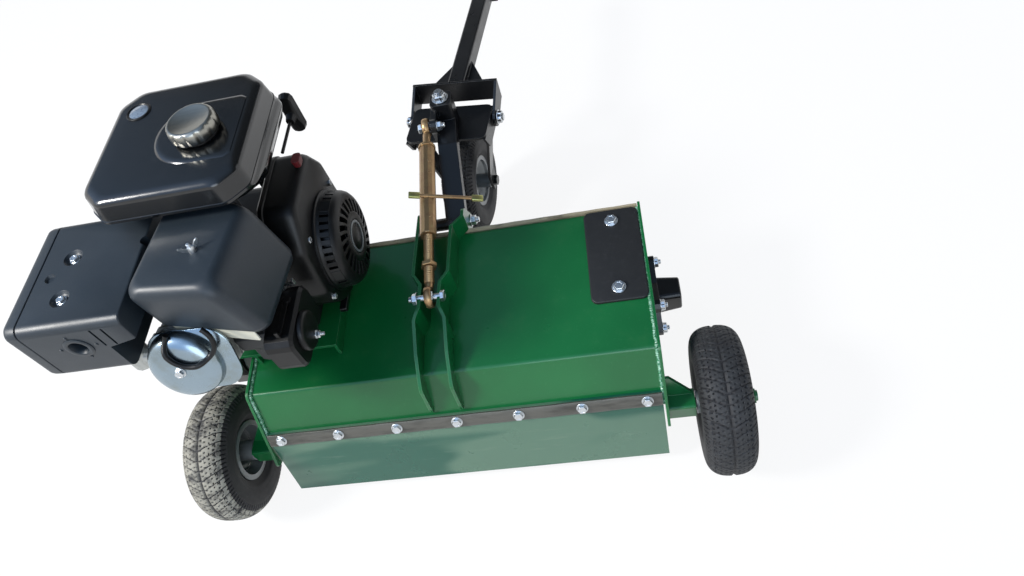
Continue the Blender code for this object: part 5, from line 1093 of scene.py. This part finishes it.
def make_guard_fittings():
    """The outlet's ring, rivets round it and the bolts in their recesses."""
    low, high = own_box("muffler_guard")
    rear, top = low[1], high[2]
    x, z = GUARD_OUTLET
    ring = [(-0.0016, 0.0150), (-0.0022, 0.0165), (-0.0022, 0.0210), (-0.0012, 0.0225), (0.0005, 0.0225),
            (0.0005, 0.0148), (0.004, 0.0140), (0.012, 0.0132), (0.012, 0.0122), (0.004, 0.0126)]
    shape = lathe(ring, facing((x, rear, z), (0, 1, 0)), closed=True)
    piece("outlet_ring", shape, "satin_black", "deck", 40.0)
    shape = []
    for angle in (0.1, 1.7, 3.2, 4.8):
        spot = (x + 0.032 * cos(angle), rear - 0.0002, z + 0.026 * sin(angle))
        shape += lathe([(0.0, 0.0030), (0.0010, 0.0026), (0.0014, 0.0004)], facing(spot, (0, -1, 0)), 20)
    piece("guard_rivets", shape, "satin_black", "deck")
    shape = []
    for place in GUARD_BOLTS:
        shape += hex_head((*place, top - 0.0064), (0, 0, 1), 0.0125, 0.0046)
    piece("guard_bolts", shape, "zinc", "deck", 25.0)


def cylinder_place(reach, up=0.0):
    """A place on the tilted cylinder's middle plane as (y, z)."""
    lift = up - CYLINDER_DROP
    return (
        CRANK[0] - reach * cos(CYLINDER_TILT) + lift * sin(CYLINDER_TILT),
        CRANK[1] + reach * sin(CYLINDER_TILT) + lift * cos(CYLINDER_TILT),
    )


def on_cover(reach, radius, angle):
    """A place on the round valve cover, reach out from its foot."""
    spot = cylinder_place(COVER_REACH + reach, radius * sin(angle))
    return Vector((CYLINDER_X + radius * cos(angle), *spot))


def make_valve_cover():
    """The pressed cover on its flange, with its centre bolt."""
    middle = CYLINDER_X + COVER_SHIFT
    flange = []
    for reach, inset in ((0.0, 0.0012), (0.0010, 0.0), (0.0040, 0.0), (0.0050, 0.0012)):
        flat = rounded(rect(middle - 0.070, middle + 0.070, -0.058, 0.058, inset), 0.040 - inset, 8)
        flange.append([Vector((x, *cylinder_place(COVER_REACH + reach, up))) for x, up in flat])
    dome = []
    for reach, radius in (
        (0.0045, 0.0612), (0.0058, 0.0602), (0.0080, 0.0598), (0.0150, 0.0592), (0.0190, 0.0578),
        (0.0225, 0.0552), (0.0255, 0.0514), (0.0280, 0.0462), (0.0300, 0.0398), (0.0313, 0.0325),
        (0.0320, 0.0245), (0.0322, 0.0010),
    ):
        dome.append([on_cover(reach, radius, tau * k / 72) for k in range(72)])
    shape = loft(flange) + loft(dome)
    piece("pressed_cover", shape, "pressed_zinc", "deck", 45.0, replaces=["valve_cover"])
    out = (0.0, -cos(CYLINDER_TILT), sin(CYLINDER_TILT))
    shape = hex_head(on_cover(0.0320, 0.0, 0.0), out, 0.0130, 0.0060)
    piece("cover_bolt", shape, "zinc", "deck", 25.0)


def make_breather():
    """The moulded hose that loops over the valve cover."""
    loop = []
    for k in range(41):
        angle = radians(-215.0 + 6.4 * k)
        x = 0.031 + 0.038 * cos(angle)
        up = 0.044 + 0.034 * sin(angle)
        far = min(1.0, max(0.0, (hypot(x, up) - 0.034) / 0.028))
        reach = 0.0368 - 0.016 * far * far * (3.0 - 2.0 * far)
        loop.append((CYLINDER_X + x, *cylinder_place(COVER_REACH + reach, up)))
    piece("breather_hose", hose(loop, 0.0043, 14), "black_plastic", "deck", 60.0)


def starter_blade(spot, face):
    """A curved blade of the starter's face."""
    rings = []
    for reach, drop in ((0.044, 0.0006), (0.054, 0.0012), (0.063, 0.0022), (0.0715, 0.0042)):
        skew = 0.009 * ((reach - 0.044) / 0.0275) ** 1.5
        half = 0.0022 + (reach - 0.044) * 0.055
        flat = rect(skew - half, skew + half, face - drop - 0.0045, face - drop)
        rings.append([spot @ Vector((reach, side, level)) for side, level in flat])
    return loft(rings)


def starter_bar(spot, half, places):
    """A bar of the starter's drum, between its slots."""
    rings = []
    for x, r in places:
        corners = ((r - 0.0030, -half), (r - 0.0030, half), (r, half), (r, -half))
        rings.append([spot @ Vector((*corner, x)) for corner in corners])
    return loft(rings)


def make_recoil():
    """The starter's cover: a slotted drum, a ring of curved blades, a grey ring and the fan inside."""
    low, high = own_box("recoil_cover")
    inner, face = low[0], high[0]
    spin = at(0.0, *CRANK) @ along("x")
    radius = RECOIL_RADIUS
    foot = [(inner, radius + 0.004), (inner + 0.0035, radius + 0.004), (inner + 0.005, radius + 0.001),
            (inner + 0.007, radius), (inner + 0.011, radius - 0.0008), (inner + 0.011, radius - 0.0035),
            (inner, radius - 0.0025)]
    rim = [(face - 0.018, radius - 0.0032), (face - 0.012, radius - 0.0055), (face - 0.007, radius - 0.0105),
           (face - 0.004, radius - 0.0185), (face - 0.0045, radius - 0.0210), (face - 0.009, radius - 0.014),
           (face - 0.014, radius - 0.009), (face - 0.018, radius - 0.0065)]
    hub = [(face - 0.0008, 0.046), (face, 0.043), (face, 0.034), (face - 0.001, 0.031),
           (face - 0.001, 0.0005)]
    plate = [(face - 0.0050, 0.0005), (face - 0.0050, 0.047), (face - 0.0035, 0.047), (face - 0.0035, 0.0005)]
    shape = lathe(foot, spin, 96, closed=True) + lathe(rim, spin, 96, closed=True)
    shape += lathe(hub, spin, 72) + lathe(plate, spin)
    blades = 24
    for i in range(blades):
        shape += starter_blade(spin @ Matrix.Rotation(tau * i / blades, 4, "Z"), face)
    bars = 40
    places = ((inner + 0.010, radius - 0.0008), (face - 0.017, radius - 0.0034))
    for i in range(bars):
        half = 0.0042 if i % 10 else 0.012
        shape += starter_bar(spin @ Matrix.Rotation(tau * i / bars, 4, "Z"), half, places)
    piece("starter_cover", shape, "black_plastic", "deck", 35.0, replaces=["recoil_cover"])
    ring = rect(face - 0.0008, face + 0.0002, 0.0255, 0.0300)
    piece("starter_ring", lathe(ring, spin, 64, closed=True), "grey_rim", "deck")
    fan = [(inner + 0.002, 0.0005), (inner + 0.002, 0.077), (face - 0.016, 0.075), (face - 0.012, 0.0005)]
    piece("fan_wheel", lathe(fan, spin, 64), "black_paint", "deck")


def make_blower():
    """The fan housing as one smooth shell with a rolled rim, its rope guide and its bolts."""
    inner = own_box("blower_housing")[0][0]
    outer = BLOWER_FACE
    outline = arc(CRANK, BLOWER_RADIUS, radians(-195.0), radians(15.0), 60)[::6]
    outline += [(CRANK[0] + 0.112, CRANK[1] + 0.100), (CRANK[0] + 0.080, BLOWER_TOP)]
    outline += [(CRANK[0] - 0.060, BLOWER_TOP), (CRANK[0] - 0.105, CRANK[1] + 0.085)]
    smooth = rounded(outline, 0.030)
    middle = Vector(CRANK)
    shell = []
    for x, share in ((inner, 0.985), (inner + 0.003, 1.0), (inner + 0.010, 1.0), (inner + 0.0115, 0.985),
                     (outer - 0.022, 0.985), (outer - 0.012, 0.978), (outer - 0.006, 0.962),
                     (outer - 0.002, 0.940), (outer, 0.905)):
        shell.append([Vector((x, *(middle + (Vector(point) - middle) * share))) for point in smooth])
    guide = []
    grip_x, grip_z = GRIP
    for y, bottom, top in ((0.308, BLOWER_TOP - 0.040, grip_z + 0.020),
                           (0.388, grip_z - 0.034, grip_z + 0.008)):
        flat = rounded(rect(grip_x - GUIDE_HALF, grip_x + GUIDE_HALF, bottom, top), 0.006, 4)
        guide.append([Vector((x, y, z)) for x, z in flat])
    shape = loft(shell) + loft(guide)
    housing = piece("fan_housing", shape, "black_plastic", "deck", 45.0, replaces=["blower_housing"])
    rope_way = lathe([(-0.088, 0.0029), (0.010, 0.0029)], facing((grip_x, 0.398, grip_z), (0, 1, 0)), 20)
    carve(housing, [rope_way])
    shape = []
    for angle in (-160.0, -100.0, -35.0, 30.0, 130.0):
        turn = radians(angle)
        spot = (outer - 0.004, CRANK[0] + 0.108 * cos(turn), CRANK[1] + 0.108 * sin(turn))
        shape += hex_head(spot, (1, 0, 0), 0.0100, 0.0050)
    piece("housing_bolts", shape, "zinc", "deck", 25.0)


def make_controls():
    """The control box's round cover with its screw, and the bar at the engine's foot."""
    profile = [(-0.004, 0.0335), (0.001, 0.0335), (0.0035, 0.0318), (0.0045, 0.0290), (0.0050, 0.022),
               (0.0050, 0.0005)]
    shape = lathe(profile, facing((CONTROL_FACE, *CONTROL_PLACE), (1, 0, 0)), 56)
    piece("control_cover", shape, "black_plastic", "deck", 40.0)
    shape = hex_head((CONTROL_FACE + 0.0048, *CONTROL_SCREW), (1, 0, 0), 0.0110, 0.0060)
    shape += stud((CONTROL_FACE + 0.0120, *CONTROL_SCREW), (1, 0, 0), 0.0030, 0.0080, 0.001)
    piece("control_screw", shape, "zinc", "deck", 25.0)
    plate = rounded(rect(0.170, 0.246, 0.3235, 0.3350), 0.003, 3)
    piece("base_bar", prism(plate, -0.198, -0.184, along("x")), "black_paint", "deck", 35.0, bevel=0.0012)


# Hitch
def on_link(reach):
    """A place on the turnbuckle's axis, that far from its lower eye."""
    return LINK_LOW + LINK_LINE * reach


def rod_thread(start, end, crest, root, pitch):
    """Rounded ridges between two places on the lower rod."""
    profile = [(start, 0.0004)]
    steps = int((end - start) / pitch * 8)
    for i in range(steps + 1):
        ridge = 0.5 - 0.5 * cos(tau * i / 8)
        profile.append((start + (end - start) * i / steps, root + (crest - root) * ridge))
    profile.append((end, 0.0004))
    return lathe(profile, facing(LINK_LOW, LINK_LINE), 32)


def make_link_details():
    """Thread on the lower rod, a ring at the tube's end and small round bumps on the tube."""
    shape = rod_thread(0.0300, 0.0675, 0.0101, 0.0084, 0.0042)
    shape += rod_thread(0.0775, 0.1435, 0.0101, 0.0084, 0.0042)
    piece("lower_thread", shape, "gold_zinc", "rod_end_lower", 25.0)
    collar = [(-0.0075, 0.0168), (-0.0068, 0.0182), (-0.0008, 0.0182), (0.0, 0.0174), (0.0, 0.0104),
              (-0.0075, 0.0104)]
    shape = lathe(collar, facing(on_link(LINK_LENGTH - 0.060), LINK_LINE), 40, closed=True)
    piece("tube_collar", shape, "gold_zinc", "turnbuckle_tube", 30.0)
    shape = []
    out = (Vector((0, 0, 1)) * cos(0.5) + LINK_ACROSS * sin(0.5)).normalized()
    dimple = [(-0.001, 0.0036), (0.0002, 0.0034), (0.0008, 0.0023), (0.0003, 0.0003)]
    for reach in (0.302, 0.335, 0.184):
        shape += lathe(dimple, facing(on_link(reach) + out * 0.0163, out), 20)
    piece("tube_dimples", shape, "gold_zinc", "turnbuckle_tube", 60.0)


def make_bar_ends():
    """Yellow zinc on both ends of the turnbuckle's bar."""
    up = LINK_ACROSS.cross(LINK_LINE).normalized()
    tilt = Matrix.Rotation(BAR_TILT, 3, LINK_LINE)
    shape = []
    for reach in (-BAR_SIDE + BAR_SHIFT, BAR_SIDE + BAR_SHIFT - 0.022):
        rings = []
        for out, wide, thick in ((-0.0004, 0.0064, 0.0030), (0.0006, 0.0074, 0.0034),
                                 (0.0214, 0.0074, 0.0034), (0.0224, 0.0064, 0.0030)):
            flat = rounded(rect(-wide, wide, -thick, thick), 0.0024, 3)
            rings.append([on_link(BAR_PLACE + a) + tilt @ (LINK_ACROSS * (reach + out) + up * (BAR_RISE + b))
                          for a, b in flat])
        shape += loft(rings)
    piece("bar_ends", shape, "yellow_zinc", "turnbuckle_tube", 40.0)


def make_rod_ends():
    """Forged eyes with a bright ball in each, on their rods, and the lock nut."""
    eye = [(-0.0060, 0.0128), (-0.0068, 0.0140), (-0.0068, 0.0180), (-0.0050, 0.0198), (0.0, 0.0205),
           (0.0050, 0.0198), (0.0068, 0.0180), (0.0068, 0.0140), (0.0060, 0.0128)]
    ball = [(-0.0085, 0.0070), (-0.0085, 0.0096), (-0.0062, 0.0116), (0.0, 0.0127), (0.0062, 0.0116),
            (0.0085, 0.0096), (0.0085, 0.0070)]
    for name, node, place, way, end in (("low", "rod_end_lower", LINK_LOW, LINK_LINE, 0.200),
                                        ("high", "rod_end_upper", LINK_HIGH, -LINK_LINE, 0.170)):
        rod = [(0.0150, 0.0006), (0.0150, 0.0070), (0.0200, 0.0076), (0.0245, 0.0086), (0.0290, 0.0084),
               (end, 0.0084), (end, 0.0006)]
        spot = facing(place, LINK_ACROSS)
        shape = lathe(eye, spot, 56, closed=True) + lathe(rod, facing(place, way), 28)
        piece("forged_eye_" + name, shape, "gold_zinc", node, 40.0, replaces=[node])
        piece("eye_ball_" + name, lathe(ball, spot, closed=True), "zinc", node, 50.0)
    nut = [(0.0, 0.0140), (0.0012, 0.0160), (0.0078, 0.0160), (0.0090, 0.0140)]
    shape = lathe(nut, facing(on_link(0.068), LINK_LINE), 6)
    piece("lock_nut", shape, "gold_zinc", "rod_end_lower", 30.0, bevel=0.0004)


def make_bearing_bolts():
    """Nuts, washers and thread ends on both flange bearings of the rotor."""
    shape = []
    for side in (-1, 1):
        way = (side, 0, 0)
        for y in (BEARING[0] - BEARING_BOLTS[0], BEARING[0] + BEARING_BOLTS[0]):
            for z in (BEARING[1] - BEARING_BOLTS[1], BEARING[1] + BEARING_BOLTS[1]):
                shape += hex_head((side * (HOOD_HALF + 0.0118), y, z), way, 0.0180, 0.0078)
                shape += stud((side * (HOOD_HALF + 0.0200), y, z), way, 0.0048, 0.0060, 0.0014)
    piece("bearing_bolts", shape, "zinc", "deck", 25.0)


def make_hitch_bolts():
    """Fine washers, nuts and threads over the CAD bolts of the linkage."""
    for name, (body, node, y, z, head, nut) in HITCH_BOLTS.items():
        way = copysign(1.0, nut - head)
        shank = [(min(head, nut) - 0.002, 0.0059), (max(head, nut) + 0.002, 0.0059)]
        shape = lathe(shank, at(0.0, y, z) @ along("x"), 24)
        shape += hex_head((head, y, z), (-way, 0, 0), 0.0182, 0.0072, washer=False)
        shape += hex_head((nut, y, z), (way, 0, 0), 0.0182, 0.0095)
        shape += stud((nut + way * 0.0110, y, z), (way, 0, 0), 0.0058, 0.0065, 0.0015)
        piece(name, shape, "zinc", body, 25.0, replaces=[node])


def steered(x, y, z):
    """A place given straight ahead from the kingpin, turned as the front wheel is steered."""
    return Vector((*STEER_PLACE, 0.0)) + Matrix.Rotation(STEER_TURN, 3, "Z") @ Vector((x, y, z))


def make_fork_details():
    """Kingpin nut and thread, nuts of the yoke's bolts, and weld beads on the drawbar."""
    top = Vector((*STEER_PLACE, KINGPIN_TOP))
    shape = hex_head(top, (0, 0, 1), 0.0262, 0.0118)
    shape += stud(top + Vector((0, 0, 0.0135)), (0, 0, 1), 0.0101, 0.0060, 0.0018)
    piece("kingpin_nut", shape, "zinc", "steering_fork", 25.0)
    shape = []
    side = (steered(1, 0, 0) - steered(0, 0, 0)).normalized()
    for sign in (-1, 1):
        start = steered(sign * YOKE_BOLT[0], YOKE_BOLT[1], YOKE_BOLT[2])
        shape += hex_head(start, side * sign, 0.0236, 0.0092)
        shape += stud(start + side * sign * 0.0105, side * sign, 0.0081, 0.0030, 0.0012)
    piece("yoke_bolts", shape, "zinc", "steering_fork", 25.0)
    face = YOKE_FACE
    shape = weld(steered(-0.020, face, 0.3435), steered(0.020, face, 0.3435), 0.0024)
    for sign in (-1, 1):
        for start, end in (((0.0200, face + 0.001), (0.0200, face + 0.092)), ((0.022, face), (0.070, face))):
            low = steered(sign * start[0], start[1], 0.3285)
            shape += weld(low, steered(sign * end[0], end[1], 0.3285), 0.0024)
    piece("drawbar_welds", shape, "black_paint", "drawbar")


# Stage, light and camera
def stage_white():
    """White that shines to the camera and takes a faint shadow."""
    material = bpy.data.materials.new("stage_white")
    material.use_nodes = True
    net = Nodes(material.node_tree)
    net.tree.nodes.clear()
    plain = net.node("ShaderNodeBsdfDiffuse", {"Color": (0.86, 0.86, 0.86, 1.0)}).outputs["BSDF"]
    glow = net.node("ShaderNodeEmission", {"Color": (1.0, 1.0, 1.0, 1.0)}).outputs["Emission"]
    rays = net.node("ShaderNodeLightPath").outputs
    seen = net.math("MAXIMUM", rays["Is Camera Ray"], rays["Is Glossy Ray"])
    seen = net.math("MAXIMUM", seen, rays["Is Transmission Ray"])
    share = net.math("MULTIPLY", seen, FLOOR_GLOW)
    mix = net.node("ShaderNodeMixShader", {0: share, 1: plain, 2: glow})
    net.node("ShaderNodeOutputMaterial", {"Surface": mix.outputs["Shader"]})
    return material


def make_stage():
    """A white floor and a low white wall all round, with the shadow left on the floor."""
    profile = [(0.0, 0.001)]
    for rise, out in ((0.0, 0.0), (0.04, 0.25), (0.16, 0.45), (0.40, 0.55), (3.2, 0.60)):
        profile.append((rise, FLOOR_REACH + out))
    shape = lathe(profile, at(0.0, 0.0, 0.0), 96, caps=False)
    mesh = mesh_of("studio_floor", draft(shape), clean=False)
    mesh.materials.append(stage_white())
    mesh.shade_smooth()
    floor = add_object("studio_floor", mesh, (0.0, 0.0, 0.0))


def make_world():
    """A soft sky: bright and a little blue behind the camera and overhead, dim ahead."""
    world = bpy.data.worlds.new("studio_sky")
    bpy.context.scene.world = world
    world.use_nodes = True
    net = Nodes(world.node_tree)
    coords = net.node("ShaderNodeTexCoord").outputs["Generated"]
    parts = net.node("ShaderNodeSeparateXYZ", {"Vector": coords}).outputs
    lean = net.math("MULTIPLY_ADD", parts["Y"], -0.75, net.math("MULTIPLY", parts["Z"], 0.55))
    ramp = net.node("ShaderNodeValToRGB", {"Fac": net.math("MULTIPLY_ADD", parts["X"], -0.80, lean)})
    dim, bright = ramp.color_ramp.elements
    dim.position = 0.0
    dim.color = (0.10, 0.11, 0.12, 1.0)
    bright.position = 0.85
    bright.color = (0.72, 1.02, 1.55, 1.0)
    ramp.color_ramp.elements.new(0.35).color = (0.30, 0.42, 0.60, 1.0)
    net.feed(net.tree.nodes["Background"], {"Color": ramp.outputs["Color"], "Strength": 0.85})


def lamp(name, place, target, size, power, colour):
    light = bpy.data.lights.new(name, "AREA")
    light.shape = "DISK"
    light.size = size
    light.energy = power
    light.color = colour
    made = add_object(name, light, place)
    made.rotation_euler = (Vector(target) - Vector(place)).to_track_quat("-Z", "Y").to_euler()


def make_lights():
    lamp("key_left", (-3.2, -1.6, 3.4), (0.0, -0.3, 0.3), 1.0, 260.0, (1.0, 0.97, 0.92))
    lamp("fill_rear", (0.6, -3.6, 2.2), (0.0, -0.3, 0.2), 2.4, 42.0, (0.86, 0.94, 1.0))
    lamp("fill_right", (3.4, 0.6, 2.6), (0.2, -0.2, 0.2), 2.0, 9.0, (0.95, 0.97, 1.0))


def make_camera():
    data = bpy.data.cameras.new("photo_camera")
    data.lens = CAMERA_LENS
    data.sensor_width = 36.0
    data.clip_end = 60.0
    made = add_object("photo_camera", data, Vector(CAMERA_PLACE) + ORIGIN)
    made.rotation_euler = [radians(angle) for angle in CAMERA_TURN]
    bpy.context.scene.camera = made


LOOKS = {make.__name__: make().material for make in MAKERS}
make_camera()
dress_nodes()
make_hood_welds()
make_clamp_strip()
make_top_pad()
make_front_lip()
make_wheels()
make_tank()
make_tank_boss()
make_gauge()
make_cap()
make_air_cleaner()
make_wing_nut()
make_cleaner_base()
make_muffler()
make_guard_fittings()
make_valve_cover()
make_breather()
make_recoil()
make_blower()
make_controls()
make_link_details()
make_bar_ends()
make_rod_ends()
make_bearing_bolts()
make_hitch_bolts()
make_fork_details()
make_stage()
make_world()
make_lights()
bpy.context.scene.view_settings.view_transform = "Standard"
